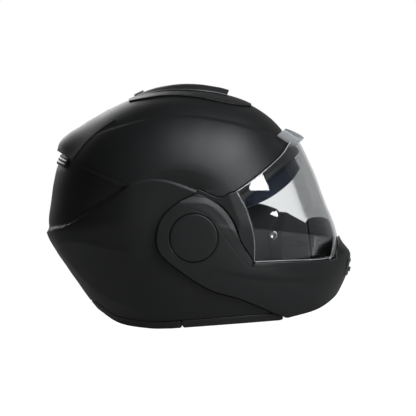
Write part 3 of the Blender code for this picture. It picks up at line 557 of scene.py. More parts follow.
def rounded_box(corner, far_corner, radius=0.8, steps=3):
    """A box with rounded edges: each direction on a sphere, times the radius, added to the core corner
    on the same side. The angles repeat where the side changes, and that makes the flat faces."""
    a, b = np.array(corner, float), np.array(far_corner, float)
    centre, core = (a + b) / 2, (b - a) / 2 - radius
    quarter = np.linspace(0, math.pi / 2, steps + 1)
    around = np.concatenate([quarter + k * math.pi / 2 for k in range(4)])
    sx = np.repeat([1, -1, -1, 1], steps + 1)
    sy = np.repeat([1, 1, -1, -1], steps + 1)
    up = np.concatenate([quarter - math.pi / 2, quarter])
    sz = np.repeat([-1, 1], steps + 1)
    u, v = np.meshgrid(around, up)
    shape = u.shape
    direction = np.stack([np.cos(v) * np.cos(u), np.cos(v) * np.sin(u), np.sin(v)], -1)
    signs = np.stack([np.broadcast_to(sx, shape), np.broadcast_to(sy, shape),
                      np.broadcast_to(sz[:, None], shape)], -1)
    points = (centre + signs * core + radius * direction).reshape(-1, 3)
    count = shape[1]
    faces = [tuple(f) for f in lattice(shape[0], count, True)]
    faces.append(tuple(range(count))[::-1])
    faces.append(tuple(range((shape[0] - 1) * count, shape[0] * count)))
    return welded(points, faces)


def welded(points, faces):
    """Merges points that coincide, such as a pole's, and drops the faces that vanish with them."""
    keys = np.round(points / 0.001).astype(np.int64)
    _, first, back = np.unique(keys, axis=0, return_index=True, return_inverse=True)
    back = back.ravel()
    kept = []
    for face in faces:
        ids = [int(back[i]) for i in face]
        loop = [x for x, y in zip(ids, ids[-1:] + ids[:-1]) if x != y]
        if len(set(loop)) > 2:
            kept.append(tuple(loop))
    return points[first], kept, np.full(len(first), 9.0)


def strip(path, side_way, width, thick, rounding=0.45, waves=0.0):
    """A flat band: a rounded oblong section carried along a path, its wide side along side_way.
    Returns the mesh, and the run along and across it in metres for a weave."""
    path = np.array(path, float)
    run = np.gradient(path, axis=0)
    run /= np.linalg.norm(run, axis=1)[:, None]
    wide = np.array(side_way, float) - run * (run @ np.array(side_way, float))[:, None]
    wide /= np.linalg.norm(wide, axis=1)[:, None]
    deep = np.cross(run, wide)
    quarter = np.linspace(0, math.pi / 2, 4)
    r = rounding * thick
    section = []
    for k, (sx, sz) in enumerate([(1, 1), (-1, 1), (-1, -1), (1, -1)]):
        for t in quarter + k * math.pi / 2:
            section.append((sx * (width / 2 - r) + r * math.cos(t), sz * (thick / 2 - r) + r * math.sin(t)))
        if k in (0, 2):
            for t in np.linspace(0, 1, 9)[1:-1]:
                section.append((sx * (width / 2 - r) * (1 - 2 * t), sz * thick / 2))
    section = np.array(section)
    length = np.concatenate([[0], np.cumsum(np.linalg.norm(np.diff(path, axis=0), axis=1))])
    across, height = section[:, 0], section[:, 1]
    flat = (np.abs(height) > 0.4 * thick)[None, :]
    lift = height[None, :] * (1 + waves * np.sin(length[:, None] / 3.0) * flat)
    points = (path[:, None, :] + across[None, :, None] * wide[:, None, :]
              + lift[:, :, None] * deep[:, None, :]).reshape(-1, 3)
    count = len(section)
    faces = [tuple(f) for f in lattice(len(path), count, True)]
    faces.append(tuple(range(count))[::-1])
    faces.append(tuple(range((len(path) - 1) * count, len(path) * count)))
    along_values = np.repeat(length, count) * MM
    across_values = np.tile(across, len(path)) * MM
    return points, faces, along_values, across_values


# ---------------------------------------------------------------- finishes

class Value:
    """A shader socket that takes arithmetic: each operator adds one Math node."""

    def __init__(self, finish, socket):
        self.finish, self.socket = finish, socket

    def maths(self, operation, other=None, swapped=False):
        inputs = {0: self} if other is None else ({0: other, 1: self} if swapped else {0: self, 1: other})
        return self.finish.node("Math", {"operation": operation}, inputs)

    def __add__(self, other):
        return self.maths("ADD", other)

    def __sub__(self, other):
        return self.maths("SUBTRACT", other)

    def __rsub__(self, other):
        return self.maths("SUBTRACT", other, True)

    def __mul__(self, other):
        return self.maths("MULTIPLY", other)

    def __truediv__(self, other):
        return self.maths("DIVIDE", other)

    __radd__ = __add__
    __rmul__ = __mul__


class Finish:
    """A node material round one Principled shader, whose constants are set on its own sockets."""

    def __init__(self, name, colour, roughness, **constants):
        self.material = bpy.data.materials.new(name)
        self.material.use_nodes = True
        self.tree = self.material.node_tree
        self.shader = self.tree.nodes["Principled BSDF"]
        self.output = self.tree.nodes["Material Output"]
        self.shader.inputs["Base Color"].default_value = (*colour, 1)
        self.shader.inputs["Roughness"].default_value = roughness
        for key, value in constants.items():
            socket = self.shader.inputs[key.replace("_", " ")]
            socket.default_value = (*value, 1) if isinstance(value, tuple) and len(value) == 3 else value
        self.place = self.node("TexCoord", out="Object")

    def feed(self, socket, value):
        if isinstance(value, Value):
            self.tree.links.new(value.socket, socket)
        elif isinstance(value, tuple) and len(value) == 3 and len(socket.default_value) == 4:
            socket.default_value = (*value, 1)
        else:
            socket.default_value = value

    def node(self, kind, settings=None, inputs=None, out=0):
        """Adds a node, its settings first, then the values or links of its sockets."""
        made = self.tree.nodes.new("ShaderNode" + kind)
        for key, value in (settings or {}).items():
            if key == "stops":
                while len(made.color_ramp.elements) < len(value):
                    made.color_ramp.elements.new(0.5)
                for stop, (at, grey) in zip(made.color_ramp.elements, value):
                    stop.position, stop.color = at, (grey, grey, grey, 1)
            else:
                setattr(made, key, value)
        for key, value in (inputs or {}).items():
            self.feed(made.inputs[key], value)
        return Value(self, made.outputs[out])

    def noise(self, size, detail=2.0, roughness=0.5, stretch=(1.0, 1.0, 1.0)):
        """Noise from 0 to 1 whose grains are about size metres across."""
        place = self.place
        if stretch != (1.0, 1.0, 1.0):
            place = self.node("Mapping", None, {"Vector": self.place, "Scale": stretch})
        return self.node("TexNoise", None, {"Vector": place, "Scale": 1 / size, "Detail": detail,
                                            "Roughness": roughness})

    def cells(self, size, feature="F1", out="Distance"):
        return self.node("TexVoronoi", {"feature": feature}, {"Vector": self.place, "Scale": 1 / size}, out)

    def attribute(self, name):
        return self.node("Attribute", {"attribute_name": name}, out="Fac")

    def band(self, value, stops):
        """A value through a grey ramp."""
        return self.node("ValToRGB", {"stops": stops}, {0: value})

    def blend(self, share, first, second):
        """A mix of two colours."""
        return self.node("Mix", {"data_type": "RGBA"}, {0: share, 6: first, 7: second}, 2)

    def colour(self, value):
        self.feed(self.shader.inputs["Base Color"], value)

    def rough(self, value):
        self.feed(self.shader.inputs["Roughness"], value)

    def bump(self, height, distance, strength=1.0):
        """Relief of a height from 0 to 1, distance metres deep."""
        made = self.node("Bump", None, {"Strength": strength, "Distance": distance, "Height": height})
        self.feed(self.shader.inputs["Normal"], made)

    def see_through(self, share, tint=(1.0, 1.0, 1.0)):
        """Lets light straight through where share, the shader's own part, is under 1."""
        clear = self.node("BsdfTransparent", None, {"Color": tint})
        shader = Value(self, self.shader.outputs[0])
        mixed = self.node("MixShader", None, {0: share, 1: clear, 2: shader})
        self.tree.links.new(mixed.socket, self.output.inputs["Surface"])


def paint(name, tone, roughness, wear):
    """Matt paint: a fine grain, a faint unevenness of gloss, and a rubbed look at the edges."""
    f = Finish(name, tone, roughness, Specular_IOR_Level=0.5)
    grain = f.noise(0.00045, 3.0, 0.6)
    cloud = f.noise(0.035, 4.0, 0.55)
    dust = f.band(f.noise(0.0016, 1.0, 0.4), [(0.72, 0.0), (0.8, 1.0)])
    edge = f.band(f.attribute("rim"), [(0.0, 1.0), (0.9, 0.0)]) * f.noise(0.006, 3.0)
    bright = tuple(c * 2.6 + 0.006 for c in tone)
    shade = tuple(c * 0.82 for c in tone)
    base = f.blend(f.band(cloud, [(0.35, 0.0), (0.65, 1.0)]), tone, shade)
    f.colour(f.blend(edge * wear + dust * 0.05, base, bright))
    f.rough(cloud * 0.10 + grain * 0.06 + (roughness - 0.08) - edge * 0.12)
    f.bump(grain + cloud * 0.6, 0.00004, 0.35)
    return f.material


def plastic(name, tone, roughness, grain_size=0.0007, depth=0.00003):
    """Moulded plastic: an eroded grain, faint flow marks and slightly polished edges."""
    f = Finish(name, tone, roughness)
    grain = f.noise(grain_size, 3.0, 0.6)
    flow = f.noise(0.02, 3.0, 0.5, (1.0, 1.0, 2.6))
    bright = tuple(c * 1.7 + 0.004 for c in tone)
    edge = f.band(f.attribute("rim"), [(0.0, 1.0), (0.8, 0.0)])
    f.colour(f.blend(flow * 0.35 + edge * 0.25, tone, bright))
    f.rough(flow * 0.12 + grain * 0.1 + (roughness - 0.1) - edge * 0.08)
    f.bump(grain, depth, 0.5)
    return f.material


def rubber(name="trim_rubber", tone=(0.013, 0.013, 0.0135)):
    """Soft rubber: a dull even black with a fine pitted skin and pale bloom in patches."""
    f = Finish(name, tone, 0.62)
    pits = f.cells(0.0011)
    bloom = f.noise(0.012, 5.0, 0.6)
    f.colour(f.blend(f.band(bloom, [(0.4, 0.0), (0.75, 0.5)]), tone, (0.03, 0.03, 0.031)))
    f.rough(bloom * 0.2 + 0.52)
    f.bump(pits, 0.00005, 0.4)
    return f.material


def bead_foam():
    """Moulded bead foam: small round beads pressed together, with painted shade in the seams between them.
    """
    f = Finish("bead_foam", (0.022, 0.022, 0.023), 0.85)
    beads = f.cells(0.0032)
    seam = f.band(beads, [(0.25, 0.0), (0.6, 1.0)])
    # Painted shade: the colour darkens from each bead's middle to the seams between beads, where the bump
    # sinks.
    f.colour(f.blend(seam, (0.03, 0.03, 0.031), (0.012, 0.012, 0.013)))
    f.rough(beads * 0.2 + 0.7)
    f.bump(1.0 - beads, 0.0005, 0.7)
    return f.material


def knit(name, tone, size=0.0011):
    """Brushed knit: crossed rows of small loops, a soft nap and slight fading."""
    f = Finish(name, tone, 0.95, Sheen_Weight=0.25, Sheen_Roughness=0.5)
    split = f.node("SeparateXYZ", None, {0: f.place}, "X")
    parts = split.socket.node.outputs
    x, y, z = (Value(f, parts[i]) for i in range(3))
    rows_of = (z * (2 * math.pi / size)).maths("SINE")
    files = ((x + y) * (2 * math.pi / size)).maths("SINE")
    loops = rows_of * files * 0.5 + 0.5
    nap = f.noise(0.0018, 4.0, 0.65)
    fade = f.noise(0.03, 3.0)
    pale = tuple(c * 2.1 + 0.004 for c in tone)
    f.colour(f.blend(loops * 0.35 + nap * 0.3 + f.band(fade, [(0.4, 0.0), (0.8, 0.4)]), tone, pale))
    f.rough(nap * 0.1 + 0.88)
    f.bump(loops * 0.7 + nap * 0.5, 0.0003, 0.6)
    return f.material


def webbing():
    """Woven strap: a herringbone of warp and weft along the strap's own run."""
    f = Finish("strap_webbing", (0.016, 0.016, 0.017), 0.8, Sheen_Weight=0.15)
    along = f.attribute("along")
    across = f.attribute("across")
    zig = (across * (2 * math.pi / 0.006)).maths("SINE").maths("ABSOLUTE") * 0.0016
    twill = ((along + zig) * (2 * math.pi / 0.0014)).maths("SINE") * 0.5 + 0.5
    warp = (across * (2 * math.pi / 0.0011)).maths("SINE") * 0.5 + 0.5
    fuzz = f.noise(0.0006, 3.0, 0.7)
    f.colour(f.blend(twill * 0.5 + warp * 0.2 + fuzz * 0.2, (0.01, 0.01, 0.0105), (0.034, 0.034, 0.036)))
    f.rough(fuzz * 0.15 + 0.72)
    f.bump(twill * 0.7 + warp * 0.3 + fuzz * 0.2, 0.00025, 0.8)
    return f.material


def steel(name, tone=(0.42, 0.42, 0.43)):
    """Plated steel: brushed lines, small scratches and dull patches."""
    f = Finish(name, tone, 0.3, Metallic=1.0)
    brushed = f.noise(0.0012, 2.0, 0.5, (1.0, 1.0, 12.0))
    patches = f.noise(0.008, 4.0, 0.6)
    scratch = f.band(f.noise(0.004, 6.0, 0.8, (9.0, 1.0, 1.0)), [(0.62, 0.0), (0.66, 1.0)])
    f.colour(f.blend(patches, tone, tuple(c * 0.7 for c in tone)))
    f.rough(brushed * 0.2 + patches * 0.15 + scratch * 0.15 + 0.14)
    f.bump(brushed + scratch, 0.00002, 0.4)
    return f.material


def clear_plastic(name, body, painted_edge_highlight=0.7):
    """Clear hard-coated plastic: seen through, mirroring more at a glancing angle, with a painted highlight
    at its cut edges, which are pale and less see-through.
    """
    f = Finish(name, (0.9, 0.92, 0.93), 0.03)
    glance = f.node("LayerWeight", None, {"Blend": 0.22}, "Fresnel")
    # Painted highlight: near the rim the plastic turns pale, matt and less see-through, standing in for
    # light caught in its cut edges.
    edge = f.band(f.attribute("rim"), [(0.0, 1.0), (0.45, 0.3), (1.0, 0.0)])
    smear = f.noise(0.03, 5.0, 0.6)
    f.colour(f.blend(edge, (0.9, 0.92, 0.93), (0.85, 0.87, 0.89)))
    f.feed(f.shader.inputs["Metallic"], edge * -1.0 + 1.0)
    f.rough(smear * 0.02 + edge * 0.3 + 0.01)
    f.see_through(glance * 0.5 + edge * painted_edge_highlight + smear * 0.008 + body, (0.975, 0.98, 0.982))
    return f.material


def smoke_plastic():
    """Smoke-tinted plastic with a blue-grey cast, a hard gloss and a painted highlight at the edges, which
    are paler and less see-through.
    """
    f = Finish("smoke_visor", (0.035, 0.042, 0.06), 0.08, Coat_Weight=0.4, Coat_Roughness=0.03)
    # Painted highlight: the colour pales and less light passes straight through near the rim.
    edge = f.band(f.attribute("rim"), [(0.0, 1.0), (0.5, 0.0)])
    haze = f.noise(0.02, 4.0, 0.6)
    glance = f.node("LayerWeight", None, {"Blend": 0.3}, "Fresnel")
    f.colour(f.blend(edge * 0.7, (0.05, 0.058, 0.075), (0.25, 0.27, 0.31)))
    f.rough(haze * 0.08 + 0.05)
    f.see_through(glance * 0.3 + edge * 0.2 + haze * 0.04 + 0.42, (0.55, 0.58, 0.66))
    return f.material


SHELL_PAINT = paint("shell_paint", (0.0095, 0.0095, 0.0100), 0.46, 0.25)
CHIN_PAINT = paint("chin_paint", (0.0120, 0.0120, 0.0127), 0.43, 0.3)
BLACK_PLASTIC = plastic("black_plastic", (0.012, 0.012, 0.0125), 0.36)
GREY_PLASTIC = plastic("grey_plastic", (0.035, 0.035, 0.037), 0.42)
RUBBER = rubber()
FOAM = bead_foam()
LINING = knit("lining_knit", (0.010, 0.010, 0.011))
SOFT_LINING = knit("cheek_knit", (0.016, 0.016, 0.018), 0.0016)
WEBBING = webbing()
STEEL = steel("plated_steel")
CLEAR = clear_plastic("clear_visor", 0.03)
CLEAR_PIN = clear_plastic("clear_pin", 0.5, 0.3)
SMOKE = smoke_plastic()


# ---------------------------------------------------------------- side outlines of the parts

FRONT, ROOF = 230.0, 330.0
SHELF = (48.0, 76.0)
gap_line = smooth(GAP_LINE)
base_rear = smooth(BASE_REAR)
rim_front = smooth(RIM_FRONT)
brow = smooth(BROW)


def above_base(lift):
    """Everything above the lower rim, lifted by a height."""
    rear = base_rear[::-1] + [0, lift]
    first = [(-FRONT, ROOF), (-FRONT, rear[0, 1] + 20)]
    front = rim_front + [0, lift]
    return outline(first, rear, [(84.8, lift)], front, [(FRONT, front[-1, 1] + 20), (FRONT, ROOF)])


def front_opening(grow=0.0):
    """The region that the shell leaves open at the front, grown by a distance."""
    lower = offset(gap_line, -grow)
    tail = lower[lower[:, 0] > 36]
    top = brow + [-0.6 * grow, 0.8 * grow]
    back = [(SHELF[0] - grow, top[-1, 1] - 12), (SHELF[0] - grow, SHELF[1])]
    jaw = [(46.0 - grow, 60.0), (38.5 - grow, 44.0)]
    return outline([(FRONT, top[0, 1] + 40)], top, back, jaw, tail,
                   [(tail[-1, 0] + 6, tail[-1, 1] - 6), (FRONT, tail[-1, 1] - 6)])


def chin_outline():
    """The chin bar's side outline: the gap line, the rim, the beak, the visor's edge and the pod."""
    rear = offset(gap_line, SEAM)
    beak = arc(PIVOT, 182.4, -8.6, -18.8)
    rim = smooth([(150.4, 62.8), (124.0, 63.4), (101.8, 64.4), (79.0, 65.6), (61.5, 66.2)])
    return outline(rear, rim_front, [(FRONT, 60), (FRONT, 95)], beak, rim, smooth(POD_FRONT)[:-1])


shell_skin = Skin(SHELL_KEYS, SHELL_HALF_WIDTH)


def ridge(stroke, height, spread, start=None, end=None):
    """A raised crease along a side-view stroke, dying away to both sides and beyond its ends."""
    line = beside(stroke)

    def field(p):
        lift = height * np.exp(-np.abs(line(p)) / spread)
        if start is not None:
            lift = lift * ramp(p[:, 0], *start)
        if end is not None:
            lift = lift * (1 - ramp(p[:, 0], *end))
        return lift
    return field


crest_line = beside(smooth(CREST))
flank_top = ridge(smooth(FLANK_TOP), 2.4, 9.0, None, (-85.0, -48.0))
flank_low = ridge(smooth(FLANK_LOW), 2.6, 10.0, None, (-70.0, -30.0))
arrow_low = beside(smooth(ARROW_LOW))
arrow = inside(outline(smooth(ARROW_TOP), smooth(ARROW_LOW)))
crescent = inside(outline(smooth(CRESCENT_TOP), [(41.0, 147.0)], smooth(CRESCENT_LOW)[::-1]))
crescent_top = beside(smooth(CRESCENT_TOP))
crescent_low = beside(smooth(CRESCENT_LOW))


def pod_hole(grow=0.0):
    """The side region that the pod and the visor's arm cover, grown by a distance."""
    rear = offset(gap_line, -grow)
    rear = rear[rear[:, 0] < 37 + grow][::-1]
    top = offset(smooth(ARM_UPPER), 0.9 + grow)
    return outline(rear, top, [(62.0, 149.0 + grow), (62.0, 24.0 - grow)])


def soft_least(a, b, width):
    """The lesser of two fields, with the corner between them rounded over a width."""
    share = np.clip(0.5 + 0.5 * (b - a) / width, 0, 1)
    return b + (a - b) * share - width * share * (1 - share)


def crest(p):
    """The roof sinks a little behind the crest line and comes back to the skin farther up."""
    above = crest_line(p)
    step = -1.5 * ramp(above, -1.2, 1.2) * np.exp(-np.maximum(above, 0) / 26.0)
    return step * ramp(p[:, 0], -118, -70) * (1 - ramp(p[:, 0], 80, 108))


def shell_relief(p):
    """Creases, the sunken arrow panel at the rear, the crescent over the pod, and sides flattened
    softly to a level that the arm clears."""
    side = np.abs(p[:, 1])
    lift = crest(p) + (flank_top(p) + flank_low(p)) * ramp(side, 20, 60)
    lift = lift - PANEL_DEPTH * ramp(arrow(p), -0.5, 5.5)
    lift = lift - 2.4 * np.exp(-np.maximum(-arrow_low(p), 0) / 9.0) * ramp(arrow(p), -0.3, 1.2)
    sideways = np.maximum(np.abs(shell_skin.normal(p)[:, 1]), 0.5)
    flat = np.where(side > 60, (ARM_Y - CAP_GAP - side) / sideways, 60.0)
    lift = soft_least(lift, flat, 4.0)
    above, below = np.maximum(-crescent_top(p), 0), np.maximum(crescent_low(p), 0)
    share = np.minimum(above / np.maximum(above + below, 0.5), 1.0)
    hollow = share * ramp(crescent(p), -0.2, 1.8) * (1 - ramp(p[:, 0], -12, 34))
    return lift - np.where(side > 60, 2.6 * hollow, 0)


def shell_back_relief(p):
    """Keeps the wall's inner face LEAST_WALL inside its outer face where the sides are flattened."""
    return np.minimum(shell_relief(p) + SHELL_WALL - LEAST_WALL, 0)


def outer_shell():
    """The painted shell: the whole skin above the rim, less the front opening and the pods' places,
    with a sunken floor behind each pod."""
    hole = inside(pod_hole())
    sides = lambda p: np.where(np.abs(p[:, 1]) > 40, -hole(p), 60.0)
    field = least(inside(above_base(TRIM_HEIGHT + TOUCH)), without(inside(front_opening())), sides)
    shares = graded((0.87, 7), (0.64, 38), (0.0, 58))
    made = wall(shell_skin, field, SHELL_WALL, np.linspace(0, 360, 361), shares, 0.8, shell_relief,
                shell_back_relief)
    put("shell", made, "shell", ["outer_shell"], SHELL_PAINT)
    floor_skin = Skin(SHELL_KEYS, SHELL_HALF_WIDTH, 2.6, clamp=FLOOR_Y - 0.3)
    behind = least(inside(pod_hole(3.0)), without(inside(front_opening(-1.0))))
    for side, sign in SIDES:
        one = least(behind, lambda p: p[:, 1] * sign - 40)
        made = wall(floor_skin, one, 1.6, np.linspace(-120, 240, 181),
                    rows(90, *sorted((0.3 * sign, sign))), 0.4)
        put(f"shell_recess_{side}", made, "shell", [], BLACK_PLASTIC)


def chin_bar():
    """The chin bar's painted wall with the pods, a seat for each side cover and the vent's mouth."""
    skin = Skin(CHIN_KEYS, CHIN_HALF_WIDTH)
    full = inside(chin_outline())
    hole = round_hole(COVER, COVER_RADIUS + 0.75)
    vent = lambda p: np.maximum.reduce([np.abs(p[:, 1]) - 18, 49 - p[:, 2], p[:, 2] - 57, 100 - p[:, 0]])
    ledge, bevel_line = beside(smooth(POD_LEDGE)), beside(smooth(POD_BEVEL))
    crease = beside(smooth(CHIN_CREASE))

    def relief(p):
        """The pod's edge falls in two bevels, a gentle outer field and a steep lit one, and the jaw
        steps in along a crease."""
        side = ramp(np.abs(p[:, 1]), 40, 75)
        gentle = -0.9 * np.clip(ledge(p) / 9.0, 0, 1) - 0.35 * np.exp(-(ledge(p) / 0.9) ** 2)
        steep = -2.1 * np.clip(bevel_line(p) / 7.0, 0, 1)
        below = crease(p)
        jaw = 1.3 * ramp(below, -3.5, 3.5) * np.exp(-np.maximum(below, 0) / 20.0)
        steep = steep * ramp(p[:, 2], 60, 84)
        return (gentle + steep) * side + jaw * ramp(p[:, 0], 0, 70)

    shares = graded((0.62, 60), (0.0, 55))
    made = wall(skin, least(full, hole, vent), CHIN_WALL, np.linspace(-100, 260, 361), shares, 0.7, relief)
    made = merge(made, *[turned([(0, 0.0), (COVER_RADIUS + 2.0, 0.0), (COVER_RADIUS + 2.0, 0.8), (0, 0.8)],
                                COVER, sign * (CHIN_HALF_WIDTH - CHIN_WALL), sign) for sign in (1, -1)])
    return put("chin_bar_shell", made, "chin_bar", ["chin_bar_shell"], CHIN_PAINT)


def visor():
    """The clear visor and the lip along its upper edge, as one moulding."""
    low_edge = smooth([(60.8, 67.2), (102.1, 65.7), (135.9, 64.0), (151.6, 65.6)])
    rise = arc(PIVOT, 190, -18, 24)
    top = [(128.0, 203.4), (117.0, 206.6)]
    upper = (brow + [0.6, -0.9])[brow[:, 0] > 49]
    field = inside(outline(smooth(VISOR_REAR), low_edge, rise, top, upper))
    skin = Skin(VISOR_KEYS, VISOR_HALF_WIDTH)
    sheet = wall(skin, field, VISOR_WALL, np.linspace(-60, 60, 150), rows(200), 0.5)
    lip_field = inside(outline(smooth([(107.2, 213.8), (115.0, 210.4), (123.7, 205.6), (128.6, 201.8)]),
                               smooth([(124.6, 198.6), (118.0, 202.6), (111.6, 207.4), (106.0, 211.6)])))
    outer = Skin([(0, 169.5)], VISOR_HALF_WIDTH + 2)
    inner = Skin([(0, 157.6)], VISOR_HALF_WIDTH - VISOR_WALL)
    lip = wall(outer, lip_field, inner, np.linspace(20, 60, 120), rows(160), 0.4)
    # The lip's rim distances are stretched 2.2 times, which narrows the painted edge highlight that the
    # clear finish draws from them.
    made = merge(sheet, (lip[0], lip[1], lip[2] * 2.2))
    return put("clear_visor", made, "visor", ["visor_shield"], CLEAR)


def visor_arms():
    """The flat arms that carry the visor on the hinge pins, under the pods."""
    hub = arc(PIVOT, 11.0, 62, 335)
    neck = polar(PIVOT, 43, [21])
    pod = offset(smooth(POD_FRONT), -1.0)
    pod = pod[np.hypot(*(pod - PIVOT).T) > 47]
    rear = smooth(VISOR_REAR) - [0.4, 0]
    top = smooth(ARM_UPPER)[:-1]
    shape = inside(outline(hub, neck, pod[::-1], rear[::-1], top[::-1]))
    field = least(shape, round_hole(PIVOT, 4.9))
    outer = Skin(VISOR_KEYS, VISOR_HALF_WIDTH, 1.0, clamp=ARM_TOP_Y)
    inner = Skin(VISOR_KEYS, VISOR_HALF_WIDTH, 1.0 + ARM_THICK, clamp=ARM_Y)
    for side, sign in SIDES:
        one = least(field, lambda p: p[:, 1] * sign)
        made = wall(outer, one, inner, np.linspace(-60, 300, 241),
                    rows(130, *sorted((0.2 * sign, sign))), 0.5)
        put(f"visor_arm_{side}", made, "visor", [f"visor_arm_{side}"], BLACK_PLASTIC)


def base_trims():
    """The rubber rim under the shell: a long rear length and one along each side."""
    seam = -25.0
    skin = Skin(SHELL_KEYS, SHELL_HALF_WIDTH)
    band = least(inside(above_base(0.0)), without(inside(above_base(TRIM_HEIGHT))))
    tail = offset(gap_line, 0.0)[-24:]
    clear = without(inside(outline(tail, [(FRONT, -20), (FRONT, 80)])))
    turns = np.linspace(-150, -40, 150)
    rear = wall(skin, least(band, within(0, -FRONT, seam - TOUCH / 2)), SHELL_WALL + TRIM_TUCK, turns,
                rows(190), 0.8)
    put("base_trim_rear", rear, "shell", ["base_trim_rear"], TRIM)
    for side, sign in SIDES:
        part = least(band, clear, within(0, seam + TOUCH / 2, FRONT), lambda p: p[:, 1] * sign)
        made = wall(skin, part, SHELL_WALL + TRIM_TUCK, turns, rows(100, *sorted((0.0, sign))), 0.8)
        put(f"base_trim_{side}", made, "shell", [f"base_trim_{side}"], TRIM)


def extra(keys, skin_keys, p):
    """How far one set of radii stands over another at points' angles."""
    degrees = np.degrees(np.arctan2(p[:, 2] - PIVOT[1], p[:, 0] - PIVOT[0]))
    return radius_at(keys, degrees) - radius_at(skin_keys, degrees)


def rear_spoiler():
    """The tail lip: the shell's own skin raised in the middle, ending in a sharp lower edge."""
    above_arrow = beside(smooth(ARROW_TOP)[::-1])
    sector = inside(outline(arc(PIVOT, 190, 118, 156), arc(PIVOT, 100, 156, 118)))
    field = least(sector, lambda p: -above_arrow(p) - 0.4, width_within(62))

    def relief(p):
        taper = 1 - ramp(np.abs(p[:, 1]), 12, 60)
        degrees = np.degrees(np.arctan2(p[:, 2] - PIVOT[1], p[:, 0] - PIVOT[0]))
        rise = ramp(degrees, 118, 139)
        return np.maximum(extra(SPOILER_KEYS, SHELL_KEYS, p), 0) * taper * rise + 0.1 + 0.5 * rise

    made = wall(shell_skin, field, 0.4, np.linspace(115, 158, 80), rows(110, -0.5, 0.5), 0.35, relief)
    put("rear_spoiler", made, "shell", ["rear_spoiler"], SHELL_PAINT)


def rear_exhaust():
    """A louvred outlet tucked under the tail lip."""
    line = beside(smooth(ARROW_TOP)[::-1])
    field = least(lambda p: line(p) - 1.2, lambda p: 12.5 - line(p), width_within(52),
                  within(0, -175, -125))

    def relief(p):
        return 0.7 - 1.6 * ((line(p) - 1.2) / 3.8 % 1.0) ** 1.5

    made = wall(shell_skin, field, 3.0, np.linspace(140, 168, 90), rows(120, -0.42, 0.42), 0.4, relief)
    put("rear_exhaust", made, "shell", ["rear_exhaust"], BLACK_PLASTIC)


VENT_LINE = [(-66.0, 256.6), (-25.2, 259.6), (8.5, 255.5), (47.4, 245.2), (72.0, 240.6)]
VENT_HOLES = [(-5.0, 0.0), (2.5, 0.0), (10.0, 0.0)]


def top_vent():
    """The roof vent: a thin plate on the shell with a raised spine, a scoop mouth in front, three small
    holes on top and a slot on each side."""
    plate = beside(smooth(VENT_LINE)[::-1])
    made = wall(shell_skin, least(lambda p: -plate(p), within(0, -66, 71)), 0.3,
                np.linspace(48, 112, 110), rows(120, -0.5, 0.5), 0.5,
                lambda p: 1.1 + 0.0 * p[:, 0])
    put("top_vent_plate", made, "shell", [], SHELL_PAINT)
    spine = Skin(VENT_KEYS, SHELL_HALF_WIDTH + 2)
    slot = inside([(-22.0, 268.5), (-18.5, 262.6), (-6.0, 263.2)])

    def field(p):
        x, side = p[:, 0], np.abs(p[:, 1])
        half = 27.0 - 9.0 * ramp(-x, 20, 66) - 5.0 * ramp(x, 10, 50)
        ends = inside_vent(p)
        holes = np.min([np.hypot(x - hx, p[:, 1] - hy) - 1.3 for hx, hy in VENT_HOLES], 0)
        recess = np.maximum(np.maximum(-62.0 - x, x + 36.0), side - 9.0)
        return np.min([half - side, ends, holes, np.maximum(-slot(p), 12 - side), recess], 0)

    inside_vent = inside(outline(arc(PIVOT, 185, 64.0, 108.0), arc(PIVOT, 120, 108.0, 64.0)))

    def relief(p):
        side = np.abs(p[:, 1])
        half = 27.0 - 9.0 * ramp(-p[:, 0], 20, 66) - 5.0 * ramp(p[:, 0], 10, 50)
        return -extra(VENT_KEYS, SHELL_KEYS, p) * 0.6 * ramp(side / half, 0.55, 1.0)

    made = wall(spine, field, Skin(SHELL_KEYS, SHELL_HALF_WIDTH, -1.2), np.linspace(60, 112, 170),
                rows(150, -0.26, 0.26), 0.5, relief)
    # The spine's paler paint is a painted sheen for the light its top strip reflects.
    put("top_vent", made, "shell", ["top_vent"], VENT_PAINT_WITH_PAINTED_SHEEN)


def top_vent_slider():
    """The ridged slider that opens the roof vent."""
    field = least(within(0, -60.0, -49.0), width_within(8), lambda p: p[:, 2] - 200)

    def relief(p):
        return 0.5 * np.cos(p[:, 0] * 2 * math.pi / 2.4)

    made = wall(Skin(VENT_KEYS, SHELL_HALF_WIDTH + 2, -1.8), field,
                Skin(SHELL_KEYS, SHELL_HALF_WIDTH, -1.6),
                np.linspace(96, 112, 90), rows(50, -0.1, 0.1), 0.6, relief)
    put("top_vent_slider", made, "top_vent_slider", ["top_vent_slider"], GREY_PLASTIC)


def eyeport_seal():
    """The soft gasket round the eye opening that the visor closes on, with a lip along its front."""
    top = brow + [0.4, -0.6]
    lower = smooth(SEAL_LOW)
    down = [(SHELF[0] + SEAM, top[-1, 1] - 10), (SHELF[0] + SEAM, SHELF[1])]
    up = [(SHELF[0] + 7, SHELF[1]), (SHELF[0] + 7, lower[-1, 1] - 10)]
    field = inside(outline(top, down, up, lower[::-1]))
    outer = Skin(SWEEP_KEYS, SHELL_HALF_WIDTH + 2.2, 1.4, clamp=ARM_Y - 0.6)
    inner = Skin(SWEEP_KEYS, SHELL_HALF_WIDTH + 2.2, 6.4, clamp=ARM_Y - 5.6)

    def relief(p):
        return -1.1 * ramp(field(p), 5.2, 6.6) + 0.5 * np.exp(-((field(p) - 2.6) / 0.9) ** 2)

    made = wall(outer, field, inner, np.linspace(-50, 60, 150), rows(220), 0.9, relief)
    put("eyeport_seal", made, "shell", ["eyeport_seal"], RUBBER)


def sun_visor():
    hub = arc(SUN_PIVOT, 9, 70, 290)
    points = outline(hub, smooth(SUN_EDGE), arc(SUN_PIVOT, 140, 24, 60), polar(SUN_PIVOT, 70, [58]),
                     polar(SUN_PIVOT, 40, [45]))
    field = least(inside(points), round_hole(SUN_PIVOT, 4.4))
    skin = Skin(SUN_KEYS, SUN_HALF_WIDTH, pivot=SUN_PIVOT)
    made = wall(skin, field, SUN_VISOR_WALL, np.linspace(-100, 260, 300), rows(180), 0.5)
    put("sun_visor", made, "sun_visor", ["sun_visor"], SMOKE)


